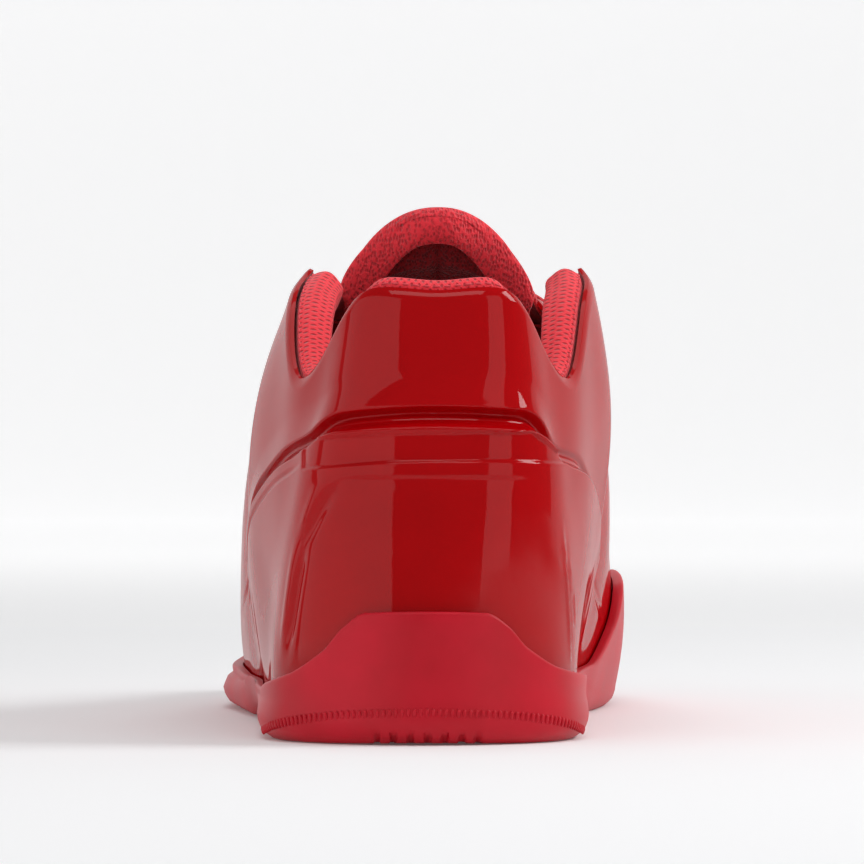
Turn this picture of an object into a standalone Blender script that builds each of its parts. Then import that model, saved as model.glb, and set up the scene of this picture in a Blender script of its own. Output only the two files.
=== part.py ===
"""Left low-top basketball shoe: a moulded patent shell on a rubber cup sole, with a padded collar,
a padded tongue, an insole and the crossings of its lace.

Every form is worked out from one set of ribs that run round the shoe: heel, inner side, toe, outer
side. A rib starts at the foot of the shell and rises to the collar's edge or, past the collar, to
the instep line. X points to the inner side, Y to the toe and Z up. Sizes are in millimetres.
"""

import bmesh
import bpy
import numpy as np
from mathutils import Vector

MM = 0.001

# Driving sizes
LENGTH = 300.0
BALL_WIDTH = 111.0
COLLAR_HEIGHT = 113.0
INSTEP_HEIGHT = 128.0
SHELL_WALL = 2.0
CLEARANCE = 0.5

# Sole: floor under the shell, toe spring, hollow arch, heel bevel, bed and rim
SOLE_FLOOR = 5.0
TOE_SPRING = 13.0
ARCH_HOLLOW = 3.0
HEEL_BEVEL = 1.2
BED_HEEL = 22.0
BED_BALL = 13.0
BED_GAP = 0.8
TAB_HEIGHT = 33.0
RIM_THICKNESS = 3.0
RIM_FLARE = 3.6
RIM_CHAMFER = 0.9
EDGE_TUCK = 3.0
INSOLE_THICKNESS = 4.0
INSOLE_GAP = 1.2
INSOLE_BEVEL = 1.0
GROOVE_WIDTH = 4.0
GROOVE_DEPTH = 2.0

# Shell, collar, tongue and lace
LEDGE_STEP = 4.0
PAD_THICKNESS = 6.5
PAD_DEPTH = 34.0
PAD_GAP = 0.8
ROLL_STAND = 3.4
TONGUE_THICKNESS = 5.0
TONGUE_RISE = 14.5
TONGUE_GAP = 1.1
EYELET_DIAMETER = 4.6
EYELET_INSET = 8.0
LACE_WIDTH = 5.0
LACE_THICKNESS = 1.8
LACE_GAP = 0.6

# Ribs of the shell, heel to toe. foot_y and top_y are shares of the length. foot_in, foot_out,
# top_in and top_out are shares of the ball width, the first two from the heel's middle and the
# others from the axis. top_z is a share of the collar height, or of the instep height from the
# first rib of the instep on.
RIB_COLUMNS = ("foot_y", "foot_in", "foot_out", "top_y", "top_in", "top_out", "top_z")
RIBS = (
    (0.023, 0.000, 0.000, 0.045, 0.000, 0.000, 1.000),
    (0.050, 0.216, 0.216, 0.058, 0.164, 0.164, 1.000),
    (0.110, 0.308, 0.311, 0.103, 0.245, 0.252, 0.885),
    (0.200, 0.318, 0.329, 0.173, 0.320, 0.332, 0.812),
    (0.305, 0.312, 0.347, 0.260, 0.356, 0.351, 0.982),
    (0.393, 0.330, 0.369, 0.337, 0.350, 0.312, 1.071),
    (0.467, 0.365, 0.401, 0.393, 0.235, 0.240, 1.000),
    (0.567, 0.412, 0.432, 0.500, 0.200, 0.200, 0.844),
    (0.667, 0.452, 0.446, 0.617, 0.155, 0.155, 0.656),
    (0.767, 0.448, 0.424, 0.707, 0.150, 0.150, 0.543),
    (0.865, 0.402, 0.358, 0.775, 0.150, 0.150, 0.475),
    (0.943, 0.270, 0.218, 0.822, 0.150, 0.150, 0.440),
    (0.976, 0.045, -0.045, 0.845, 0.150, 0.150, 0.421),
)
FIRST_INSTEP_RIB = 6
LAST_RIB = len(RIBS) - 1
# Even steps round the shoe, and the places where the heel tab and the throat's front turn sharply
STEPS_A_RIB = 3
TAB_RIBS = (0.5, 0.75, 0.9)
THROAT_RIBS = (5.2, 8.15, 8.25)
# The fine steps along a rib and over the instep, and the ribs that the tongue and the lace reach
FINE_STEPS = 161
INSTEP_STEPS = 50
INSTEP_REACH = (5.1, 10.0)

# How each rib bows: its rise from the foot and the pull of its top, as shares of the collar height,
# the bulge of its sides as shares of the ball width, and its lean at the collar in degrees from level.
BOW_COLUMNS = ("rise", "bulge_in", "bulge_out", "pull_in", "pull_out", "lean_in", "lean_out")
BOWS = (
    (0.310, -0.005, -0.005, 0.310, 0.310, 80.0, 80.0),
    (0.310, 0.000, 0.000, 0.292, 0.292, 80.0, 80.0),
    (0.292, 0.003, 0.003, 0.265, 0.265, 84.0, 84.0),
    (0.265, 0.032, 0.014, 0.221, 0.221, 87.0, 87.0),
    (0.398, 0.090, 0.063, 0.292, 0.292, 83.0, 79.0),
    (0.496, 0.135, 0.090, 0.336, 0.336, 72.0, 62.0),
    (0.549, 0.162, 0.099, 0.504, 0.496, 60.0, 60.0),
    (0.425, 0.117, 0.090, 0.460, 0.451, 60.0, 60.0),
    (0.319, 0.081, 0.072, 0.389, 0.389, 60.0, 60.0),
    (0.265, 0.063, 0.054, 0.336, 0.336, 60.0, 60.0),
    (0.239, 0.045, 0.045, 0.301, 0.301, 60.0, 60.0),
    (0.221, 0.036, 0.036, 0.248, 0.248, 60.0, 60.0),
    (0.221, 0.027, 0.027, 0.212, 0.212, 60.0, 60.0),
)

# The ledge round the heel counter: its height on the inner and outer side, as shares of the collar
# height, and its step as a share of LEDGE_STEP.
LEDGE_COLUMNS = ("rib", "in_z", "out_z", "step")
LEDGE = (
    (0, 0.704, 0.704, 1.00),
    (1, 0.696, 0.692, 1.00),
    (2, 0.624, 0.646, 0.85),
    (3, 0.597, 0.611, 0.75),
    (4, 0.522, 0.540, 0.65),
    (5, 0.407, 0.416, 0.40),
    (6, 0.274, 0.274, 0.17),
    (7, 0.212, 0.212, 0.00),
    (12, 0.265, 0.265, 0.00),
)

# The ledge in section, in shares of LEDGE_STEP: where the step starts and ends above the ledge's
# line, then the depth, the place and the width of the groove over it and of the flare over that.
STEP_START, STEP_END = -0.375, 0.25
GROOVE_RELIEF = (0.30, 0.60, 0.325)
FLARE_RELIEF = (0.35, 1.125, 1.0)
# The places of the shell's rows: shares of the way up to the ledge, heights over its line in shares
# of LEDGE_STEP, and shares of the rest of the way to the edge. Low down, the ledge fades.
ROWS_BELOW = (0.0, 0.3, 0.6, 0.85)
ROWS_AT_LEDGE = (STEP_START, STEP_END, 0.60, 1.5)
ROWS_ABOVE = (0.25, 0.5, 0.72, 0.88, 1.0)
FOOT_FADE = 0.12

# The rubber rim: its top on the inner and outer side as shares of TAB_HEIGHT, its thickness as
# shares of RIM_THICKNESS and its flare as shares of RIM_FLARE.
RIM_COLUMNS = ("rib", "top_in", "top_out", "thick_in", "thick_out", "flare_in", "flare_out")
RIM = (
    (0.0, 1.000, 1.000, 0.93, 0.93, 0.08, 0.08),
    (0.5, 0.988, 0.988, 0.90, 0.90, 0.11, 0.11),
    (0.7, 0.894, 0.879, 0.83, 0.83, 0.14, 0.14),
    (0.9, 0.727, 0.697, 0.80, 0.80, 0.17, 0.17),
    (1.35, 0.561, 0.515, 0.73, 0.73, 0.22, 0.22),
    (2.2, 0.485, 0.412, 0.70, 0.67, 0.28, 0.28),
    (3.0, 0.455, 0.352, 0.70, 0.63, 0.22, 0.28),
    (4.0, 0.394, 0.333, 0.77, 0.70, 0.00, 0.00),
    (6.0, 0.424, 0.339, 0.87, 0.87, 0.00, 0.08),
    (7.0, 0.697, 0.358, 0.97, 0.93, 0.00, 0.61),
    (7.7, 1.061, 0.364, 1.00, 1.00, 0.00, 1.00),
    (8.4, 1.152, 0.376, 1.00, 1.00, 0.08, 0.83),
    (9.0, 0.939, 0.409, 1.00, 1.00, 0.17, 0.44),
    (9.7, 0.636, 0.515, 1.07, 1.07, 0.11, 0.17),
    (11.0, 0.788, 0.773, 1.27, 1.27, 0.00, 0.00),
    (12.0, 0.970, 0.970, 1.47, 1.47, 0.00, 0.00),
)

# The edge of the sole in section: its height as a share of TAB_HEIGHT, and how much of the flare
# and of EDGE_TUCK it has there.
EDGE_COLUMNS = ("up", "flare", "tuck")
EDGE = ((0.0, 0.5, 1.0), (0.055, 0.8, 0.32), (0.170, 1.0, 0.0), (0.261, 0.5, 0.0))
UNDER_SHARES = (0.0, 0.45, 0.8)

# The sole's underside and bed along the length, as shares of it.
SPRING_START = 0.66
SPRING_CURVE = 1.8
BEVEL_END = 0.05
ARCH = (0.30, 0.38, 0.42, 0.50)
BED_SLOPE = (0.25, 0.68)

# The middle line of sole and insole, one share of the length for each rib.
SPINE = (0.12, 0.13, 0.16, 0.22, 0.31, 0.39, 0.46, 0.56, 0.66, 0.75, 0.82, 0.86, 0.88)

# The axis: how far the instep line lies to the inner side, as a share of the ball width.
AXIS_COLUMNS = ("y", "x")
AXIS = ((0.0, 0.030), (0.30, 0.032), (0.45, 0.034), (0.70, 0.038), (1.0, 0.040))

# The throat: half its width each side of the axis, as shares of the ball width.
THROAT_COLUMNS = ("y", "half_in", "half_out")
THROAT = (
    (0.337, 0.350, 0.312),
    (0.360, 0.305, 0.288),
    (0.385, 0.280, 0.272),
    (0.420, 0.250, 0.246),
    (0.520, 0.185, 0.185),
    (0.640, 0.150, 0.150),
)
THROAT_FRONT = 0.672
THROAT_ROUND = 0.050

# The collar pad: how far its roll stands up at a rib, as a share of ROLL_STAND, the roll in section
# and the pad's swell from its hem up, as shares of the thickness and of the stand.
ROLL_COLUMNS = ("rib", "stand")
ROLL = ((0.0, 1.0), (1.0, 1.0), (2.4, 0.65), (4.0, 0.65), (5.0, 1.24))
ROLL_SECTION = ((0.10, 0.55), (0.40, 1.0), (0.75, 0.75), (1.02, 0.1))
PAD_ROWS = (1.0, 0.75, 0.5, 0.25, 0.01)
PAD_SWELL = (0.30, 0.62, 0.85, 1.0)
# How far the pad stays clear of the ledge's groove, in shares of the step there
PAD_CLEAR = 0.4
PAD_CLEAR_START, PAD_CLEAR_END = 1.0, 2.5

# Tongue, vamp end to top: where it lies along the shoe, how far it runs back and up past its
# last place under the shell in shares of TONGUE_RISE, its half width as a share of the ball width
# and its thickness as a share of TONGUE_THICKNESS.
TONGUE_COLUMNS = ("y", "back", "up", "half", "thick")
TONGUE = (
    (0.720, 0.00, 0.00, 0.153, 0.60),
    (0.680, 0.00, 0.00, 0.171, 0.68),
    (0.620, 0.00, 0.00, 0.194, 0.80),
    (0.560, 0.00, 0.00, 0.216, 0.92),
    (0.500, 0.00, 0.00, 0.234, 1.00),
    (0.450, 0.00, 0.00, 0.248, 1.12),
    (0.415, 0.00, 0.00, 0.252, 1.28),
    (0.400, 0.00, 0.00, 0.261, 1.44),
    (0.400, 0.31, 0.36, 0.270, 1.68),
    (0.400, 0.62, 0.72, 0.266, 1.84),
    (0.400, 0.79, 0.92, 0.239, 1.52),
    (0.400, 0.84, 1.00, 0.203, 0.88),
)

# The tongue in section: places across it and how thick it is there.
TONGUE_ACROSS = (-1.0, -0.85, -0.6, -0.3, 0.0, 0.3, 0.6, 0.85, 1.0)
TONGUE_SWELL = (0.45, 0.85, 1.0, 1.0, 1.0, 1.0, 1.0, 0.85, 0.45)

# Eyelets, top to toe, as shares of the length, and the sides of each hole.
EYELETS = (0.405, 0.453, 0.501, 0.549, 0.597, 0.645)
EYELET_SIDES = 10

# A crossing lands this share of a pitch before the next eyelets, the first one starts half a pitch
# after the bar, and of two laces that cross the upper is lifted by this share of a thickness.
LACE_LANDING = 0.45
FIRST_CROSS = 0.5
CROSS_LIFT = 0.3
LACE_STEPS = 9

# Grooves in the tread: the middle of each as shares of the ball width and of the length, its turn
# in degrees and its length as a share of the ball width.
GROOVE_COLUMNS = ("x", "y", "turn", "long")
GROOVES = (
    (0.0, 0.085, 0.0, 0.20),
    (0.0, 0.150, 0.0, 0.40),
    (0.0, 0.215, 0.0, 0.44),
    (0.0, 0.530, 6.0, 0.62),
    (0.0, 0.585, 6.0, 0.66),
    (0.0, 0.640, 6.0, 0.70),
    (0.0, 0.700, 6.0, 0.68),
    (0.02, 0.760, 6.0, 0.62),
)

COLOURS = {
    "rubber": (0.42, 0.004, 0.020, 1.0),
    "patent": (0.50, 0.000, 0.004, 1.0),
    "knit": (0.62, 0.020, 0.035, 1.0),
    "lining": (0.40, 0.010, 0.020, 1.0),
    "lace": (0.66, 0.035, 0.045, 1.0),
}
ROUGHNESS = {"rubber": 0.45, "patent": 0.12, "knit": 0.85, "lining": 0.85, "lace": 0.85}
SHARP_ANGLE = 38.0
WELD = 2e-6


def column(rows, names, name):
    """One named column of a table."""
    place = names.index(name)
    return np.array([row[place] for row in rows], float)


def around(inner, outer=None, outer_sign=1.0):
    """A smooth closed curve through one value a rib: heel, inner side, toe, outer side."""
    outer = inner if outer is None else outer
    knots = np.concatenate([inner, outer_sign * np.array(outer)[-2:0:-1]])
    count = len(knots)
    ring = np.eye(count)
    system = 4 * ring + np.roll(ring, 1, 0) + np.roll(ring, -1, 0)
    slopes = np.linalg.solve(system, 3 * (np.roll(knots, -1) - np.roll(knots, 1)))

    def at(turn):
        start = np.floor(turn).astype(int) % count
        end = (start + 1) % count
        f = turn - np.floor(turn)
        held = knots[start] * (1 + 2 * f) * (1 - f) ** 2 + knots[end] * (3 - 2 * f) * f**2
        return held + slopes[start] * f * (1 - f) ** 2 - slopes[end] * (1 - f) * f**2

    return at


def steady(xs, ys, level_ends=True):
    """A smooth curve through a table's rows that never swings past them."""
    xs, ys = np.array(xs, float), np.array(ys, float)
    gaps = np.diff(xs)
    grades = np.diff(ys) / gaps
    slopes = np.zeros(len(xs))
    rising = grades[:-1] * grades[1:] > 0
    left, right = 2 * gaps[1:] + gaps[:-1], gaps[1:] + 2 * gaps[:-1]
    safe_a = np.where(rising, grades[:-1], 1.0)
    safe_b = np.where(rising, grades[1:], 1.0)
    slopes[1:-1] = np.where(rising, (left + right) / (left / safe_a + right / safe_b), 0.0)
    if not level_ends:
        slopes[0], slopes[-1] = grades[0], grades[-1]

    def at(x):
        x = np.clip(x, xs[0], xs[-1])
        i = np.clip(np.searchsorted(xs, x, side="right") - 1, 0, len(xs) - 2)
        f = (x - xs[i]) / gaps[i]
        held = ys[i] * (1 + 2 * f) * (1 - f) ** 2 + ys[i + 1] * (3 - 2 * f) * f**2
        return held + gaps[i] * (slopes[i] * f * (1 - f) ** 2 - slopes[i + 1] * (1 - f) * f**2)

    return at


def ease(start, end, x):
    """0 before start, 1 after end, and a smooth rise between."""
    f = np.clip((x - start) / (end - start), 0.0, 1.0)
    return f * f * (3 - 2 * f)


def rib_of(turn):
    """The rib number, 0 at the heel and LAST_RIB at the toe, whichever side turn is on."""
    turn = np.mod(turn, 2 * LAST_RIB)
    return np.minimum(turn, 2 * LAST_RIB - turn)


def side_of(turn):
    """1 on the inner side and -1 on the outer side."""
    return np.where(np.mod(turn, 2 * LAST_RIB) <= LAST_RIB, 1.0, -1.0)


def turn_of(rib, side):
    """The place round the shoe of a rib on the inner (1) or outer (-1) side."""
    return np.where(side > 0, rib, 2 * LAST_RIB - np.asarray(rib, float))


def of_ribs(name):
    return column(RIBS, RIB_COLUMNS, name)


def of_bows(name):
    return column(BOWS, BOW_COLUMNS, name)


def by_side(table, names, inner, outer, size):
    """A curve over the ribs that has a column for each side, in shares of a size."""
    ribs = column(table, names, "rib")
    on_inner = steady(ribs, column(table, names, inner) * size)
    on_outer = steady(ribs, column(table, names, outer) * size)
    return lambda turn: np.where(side_of(turn) > 0, on_inner(rib_of(turn)), on_outer(rib_of(turn)))


foot_x = around(of_ribs("foot_in") * BALL_WIDTH, of_ribs("foot_out") * BALL_WIDTH, -1.0)
foot_y = around(of_ribs("foot_y") * LENGTH)
top_y = around(of_ribs("top_y") * LENGTH)
top_half = around(of_ribs("top_in") * BALL_WIDTH, of_ribs("top_out") * BALL_WIDTH, -1.0)
top_height = around(
    of_ribs("top_z") * np.where(np.arange(LAST_RIB + 1) < FIRST_INSTEP_RIB, COLLAR_HEIGHT, INSTEP_HEIGHT)
)
bow_rise = around(of_bows("rise") * COLLAR_HEIGHT)
bow_bulge = around(of_bows("bulge_in") * BALL_WIDTH, of_bows("bulge_out") * BALL_WIDTH)
bow_pull = around(of_bows("pull_in") * COLLAR_HEIGHT, of_bows("pull_out") * COLLAR_HEIGHT)
bow_lean = around(np.radians(of_bows("lean_in")), np.radians(of_bows("lean_out")))
spine_y = around(np.array(SPINE) * LENGTH)
axis_x = steady(column(AXIS, AXIS_COLUMNS, "y") * LENGTH, column(AXIS, AXIS_COLUMNS, "x") * BALL_WIDTH)
instep_z = steady(
    of_ribs("top_y")[FIRST_INSTEP_RIB - 1 :] * LENGTH,
    np.append(
        of_ribs("top_z")[FIRST_INSTEP_RIB - 1] * COLLAR_HEIGHT + (INSTEP_HEIGHT - COLLAR_HEIGHT),
        of_ribs("top_z")[FIRST_INSTEP_RIB:] * INSTEP_HEIGHT,
    ),
    level_ends=False,
)
throat_y = column(THROAT, THROAT_COLUMNS, "y") * LENGTH
throat_in = steady(throat_y, column(THROAT, THROAT_COLUMNS, "half_in") * BALL_WIDTH)
throat_out = steady(throat_y, column(THROAT, THROAT_COLUMNS, "half_out") * BALL_WIDTH)
ledge_z = by_side(LEDGE, LEDGE_COLUMNS, "in_z", "out_z", COLLAR_HEIGHT)
ledge_step = by_side(LEDGE, LEDGE_COLUMNS, "step", "step", LEDGE_STEP)
rim_top = by_side(RIM, RIM_COLUMNS, "top_in", "top_out", TAB_HEIGHT)
rim_thick = by_side(RIM, RIM_COLUMNS, "thick_in", "thick_out", RIM_THICKNESS)
rim_flare = by_side(RIM, RIM_COLUMNS, "flare_in", "flare_out", RIM_FLARE)
roll_stand = steady(column(ROLL, ROLL_COLUMNS, "rib"), column(ROLL, ROLL_COLUMNS, "stand") * ROLL_STAND)


def toe_spring(y):
    """How far the toe curves up off the ground."""
    past = np.clip(np.asarray(y, float) / LENGTH - SPRING_START, 0, None)
    return TOE_SPRING * (past / (1 - SPRING_START)) ** SPRING_CURVE


def ground(y):
    """The underside of the sole: heel bevel, hollow arch and toe spring, flat between them."""
    share = np.asarray(y, float) / LENGTH
    bevel = HEEL_BEVEL * (np.clip(BEVEL_END - share, 0, None) / BEVEL_END) ** 2
    arch = ARCH_HOLLOW * ease(ARCH[0], ARCH[1], share) * (1 - ease(ARCH[2], ARCH[3], share))
    return toe_spring(y) + bevel + arch


def bed(y):
    """The top of the sole's foam bed, inside the shell."""
    share = np.asarray(y, float) / LENGTH
    return toe_spring(y) + BED_HEEL + (BED_BALL - BED_HEEL) * ease(*BED_SLOPE, share)


def outward(turn):
    """The level direction out of the shoe at the foot of the shell."""
    step = 1e-3
    along_x = foot_x(turn + step) - foot_x(turn - step)
    along_y = foot_y(turn + step) - foot_y(turn - step)
    size = np.hypot(along_x, along_y)
    return along_y / size, -along_x / size


def form(turn, rise):
    """Points of the shell's smooth form, without its ledge. rise is 0 at the foot, 1 at the top."""
    turn, rise = np.broadcast_arrays(np.asarray(turn, float), np.asarray(rise, float))
    collar = 1 - ease(FIRST_INSTEP_RIB - 1, FIRST_INSTEP_RIB, rib_of(turn))
    out_x, out_y = outward(turn)
    foot = np.stack([foot_x(turn), foot_y(turn), ground(foot_y(turn)) + SOLE_FLOOR + CLEARANCE], -1)
    edge_y = top_y(turn)
    edge_z = collar * top_height(turn) + (1 - collar) * instep_z(edge_y)
    edge = np.stack([axis_x(edge_y) + collar * top_half(turn), edge_y, edge_z], -1)
    low = foot + np.stack([bow_bulge(turn) * out_x, bow_bulge(turn) * out_y, bow_rise(turn)], -1)
    down_x, down_y = foot[..., 0] - edge[..., 0], foot[..., 1] - edge[..., 1]
    size = np.maximum(np.hypot(down_x, down_y), 1e-6)
    ahead_y = np.minimum(edge_y + 1.0, of_ribs("top_y")[-1] * LENGTH)
    slope = (instep_z(ahead_y) - instep_z(ahead_y - 2.0)) / 2.0
    lean = bow_lean(turn)
    pull = bow_pull(turn)
    step_x = collar * out_x * np.cos(lean) + (1 - collar) * down_x / size
    step_y = collar * out_y * np.cos(lean) + (1 - collar) * down_y / size
    step_z = -collar * np.sin(lean) + (1 - collar) * slope * down_y / size
    high = edge + pull[..., None] * np.stack([step_x, step_y, step_z], -1)
    f = rise[..., None]
    return (1 - f) ** 3 * foot + 3 * (1 - f) ** 2 * f * low + 3 * (1 - f) * f**2 * high + f**3 * edge


def form_normal(turn, rise):
    """The outward direction of the smooth form, which its two sides share along the instep."""
    turn, rise = np.broadcast_arrays(np.asarray(turn, float), np.asarray(rise, float))
    step = 1e-3
    rise = np.clip(rise, step, 1 - 2 * step)
    low, high = rise - step, rise + step
    along = form(turn + step, rise) - form(turn - step, rise)
    up = form(turn, high) - form(turn, low)
    normal = np.cross(along, up)
    return normal / np.linalg.norm(normal, axis=-1, keepdims=True)


def ledge_relief(above, step):
    """How far the shell stands out of its smooth form, at a height above the ledge's line."""
    above = above / LEDGE_STEP
    counter = 1 - ease(STEP_START, STEP_END, above)
    depth, place, width = GROOVE_RELIEF
    groove = depth * np.exp(-(((above - place) / width) ** 2))
    depth, place, width = FLARE_RELIEF
    flare = depth * np.exp(-(((above - place) / width) ** 2)) * ease(0.0, 0.75, above)
    return step * (counter - groove + flare)


def shell(turn, rise, inset=0.0):
    """Points of the shell's outer face, or of a face that lies inset below it."""
    points, normal = form(turn, rise), form_normal(turn, rise)
    normal[..., 2] *= ease(0.0, FOOT_FADE, np.broadcast_to(rise, normal.shape[:-1]))
    above = points[..., 2] - ledge_z(turn)
    out = ledge_relief(above, ledge_step(turn)) - inset
    return points + out[..., None] * normal


FINE_RISE = np.linspace(0.0, 1.0, FINE_STEPS)
INSTEP_RIBS = np.linspace(*INSTEP_REACH, INSTEP_STEPS)
INSTEP_FORM = [form(turn_of(INSTEP_RIBS, side)[:, None], FINE_RISE) for side in (1, -1)]


def rise_at_height(turns, heights):
    """Where each rib reaches a height."""
    found = np.zeros(len(turns))
    for i, (turn, height) in enumerate(zip(turns, np.broadcast_to(heights, len(turns)))):
        found[i] = np.interp(height, form(turn, FINE_RISE)[:, 2], FINE_RISE)
    return found


def throat_half(y, side):
    """Half the width of the throat at a place along the shoe. Its front is round."""
    to_front = np.clip((THROAT_FRONT * LENGTH - y) / (THROAT_ROUND * LENGTH), 0.0, 1.0)
    half = np.where(side > 0, throat_in(y), throat_out(y))
    return half * np.sqrt(1 - (1 - to_front) ** 2)


def first_inside(points, halves):
    """The share of each rib at which it comes within a distance of the axis."""
    over = np.abs(points[..., 0] - axis_x(points[..., 1])) - halves
    found = np.ones(len(points))
    for i, rib in enumerate(over):
        inside = np.flatnonzero((rib[1:] <= 0) & (rib[:-1] > 0))
        if len(inside) and rib[-1] < 0:
            j = inside[-1]
            found[i] = np.interp(0.0, [-rib[j], -rib[j + 1]], [FINE_RISE[j], FINE_RISE[j + 1]])
    return found


def edge_rise(turns):
    """The end of each rib: the collar's edge, the throat's edge or the instep line."""
    points = form(turns[:, None], FINE_RISE)
    ends = first_inside(points, throat_half(points[..., 1], side_of(turns)[:, None]))
    return np.where(rib_of(turns) <= FIRST_INSTEP_RIB - 1, 1.0, ends)


def rib_places(extra=()):
    """Places round the shoe at even steps, with extra ones where a form turns sharply."""
    steps = np.arange(LAST_RIB * STEPS_A_RIB + 1) / STEPS_A_RIB
    ribs = set(np.round(steps, 4)) | set(TAB_RIBS) | set(extra)
    inner = np.array(sorted(ribs))
    return np.concatenate([inner, 2 * LAST_RIB - inner[-2:0:-1]])


def mesh_object(name, points, faces, colour, solid=False):
    """A mesh object from points in millimetres, its seams welded and a solid's faces turned out."""
    mesh = bpy.data.meshes.new(name)
    mesh.from_pydata([tuple(p) for p in (np.asarray(points) - ORIGIN) * MM], [], faces)
    work = bmesh.new()
    work.from_mesh(mesh)
    bmesh.ops.remove_doubles(work, verts=work.verts, dist=WELD)
    if solid:
        bmesh.ops.triangulate(work, faces=work.faces)
        if work.calc_volume(signed=True) < 0:
            bmesh.ops.reverse_faces(work, faces=work.faces)
    work.to_mesh(mesh)
    work.free()
    mesh.shade_smooth()
    mesh.set_sharp_from_angle(angle=np.radians(SHARP_ANGLE))
    mesh.materials.append(material(colour))
    obj = bpy.data.objects.new(name, mesh)
    parts.objects.link(obj)
    return obj


def grid_faces(count, width, closed):
    """Faces between neighbouring rows of a grid of points."""
    faces = []
    for i in range(count if closed else count - 1):
        a, b = i * width, (i + 1) % count * width
        faces += [(a + j, b + j, b + j + 1, a + j + 1) for j in range(width - 1)]
    return faces


def loft(name, rows, colour, closed=True):
    """A surface through rows of points."""
    count, width = rows.shape[:2]
    return mesh_object(name, rows.reshape(-1, 3), grid_faces(count, width, closed), colour)


def tube_loft(name, rings, colour):
    """A solid through closed rings, with flat ends."""
    count, width = rings.shape[:2]
    looped = [(i * width + j, i * width + (j + 1) % width) for i in range(count) for j in range(width)]
    faces = [(b, a, a + width, b + width) for a, b in looped[: (count - 1) * width]]
    faces.append(tuple(range(width)))
    faces.append(tuple(range(count * width - 1, (count - 1) * width - 1, -1)))
    return mesh_object(name, rings.reshape(-1, 3), faces, colour, solid=True)


def material(kind):
    made = bpy.data.materials.get(kind)
    if made is None:
        made = bpy.data.materials.new(kind)
        made.use_nodes = True
        shader = made.node_tree.nodes["Principled BSDF"]
        shader.inputs["Base Color"].default_value = COLOURS[kind]
        shader.inputs["Roughness"].default_value = ROUGHNESS[kind]
    return made


def boolean(obj, tool, operation):
    modifier = obj.modifiers.new(operation.title(), "BOOLEAN")
    modifier.operation = operation
    modifier.solver = "EXACT"
    modifier.object = tool
    return modifier


def make_cutter(obj):
    """Moves an object to the cutters, which leave no solid of their own."""
    parts.objects.unlink(obj)
    cutters.objects.link(obj)
    obj.hide_render = True
    obj.display_type = "WIRE"


def sole_profile(turn):
    """One rib of the sole: under the tread, up the rim, down inside it and over the bed."""
    x, y = foot_x(turn), foot_y(turn)
    low = float(ground(y))
    out_x, out_y = outward(turn)
    top, thick, flare = rim_top(turn), rim_thick(turn) + CLEARANCE, rim_flare(turn)
    floor_z = low + SOLE_FLOOR
    outer, inner = shell(turn, FINE_RISE), shell(turn, FINE_RISE, SHELL_WALL)

    def beside(face, z, out):
        at_x = np.interp(z, face[:, 2], face[:, 0])
        at_y = np.interp(z, face[:, 2], face[:, 1])
        return (at_x + out_x * out, at_y + out_y * out, z)

    middle_y = float(spine_y(turn))
    middle_x = float(axis_x(middle_y))
    edge_x, edge_y = x + out_x * (thick - EDGE_TUCK), y + out_y * (thick - EDGE_TUCK)
    points = []
    for share in UNDER_SHARES:
        under_y = middle_y + (edge_y - middle_y) * share
        points.append((middle_x + (edge_x - middle_x) * share, under_y, ground(under_y)))
    for row in EDGE:
        at = dict(zip(EDGE_COLUMNS, row))
        out = thick + at["flare"] * flare - at["tuck"] * EDGE_TUCK
        points.append(beside(outer, low + at["up"] * TAB_HEIGHT, out))
    edge_z = points[-1][2]
    for share in (0.5, 1.0):
        points.append(beside(outer, edge_z + (top - RIM_CHAMFER - edge_z) * share, thick))
    points.append(beside(outer, top, thick - RIM_CHAMFER))
    for share in (1.0, 0.75, 0.5, 0.25, 0.0):
        points.append(beside(outer, floor_z + (top - floor_z) * share, CLEARANCE))
    bed_z = float(bed(y))
    for share in (0.0, 0.5, 1.0):
        points.append(beside(inner, floor_z + (bed_z - floor_z) * share, -BED_GAP))
    points.append((middle_x, middle_y, bed(middle_y)))
    return points


def sole():
    """Rubber cup and foam bed in one: tread, rim, heel tab and channel for the shell."""
    turns = rib_places()
    rows = np.array([sole_profile(turn) for turn in turns], float)
    body = loft("sole", rows, "rubber")
    for i, row in enumerate(GROOVES):
        at = dict(zip(GROOVE_COLUMNS, row))
        bpy.ops.mesh.primitive_cube_add(size=1.0)
        cutter = bpy.context.object
        cutter.name = f"groove_cutter_{i + 1}"
        for owner in cutter.users_collection:
            owner.objects.unlink(cutter)
        parts.objects.link(cutter)
        cutter.scale = (at["long"] * BALL_WIDTH * MM, GROOVE_WIDTH * MM, 2 * GROOVE_DEPTH * MM)
        cutter.rotation_euler.z = np.radians(at["turn"])
        y = at["y"] * LENGTH
        place = np.array([at["x"] * BALL_WIDTH + axis_x(y), y, ground(y)])
        cutter.location = (place - ORIGIN) * MM
        make_cutter(cutter)
        boolean(body, cutter, "DIFFERENCE")
    return body


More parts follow.
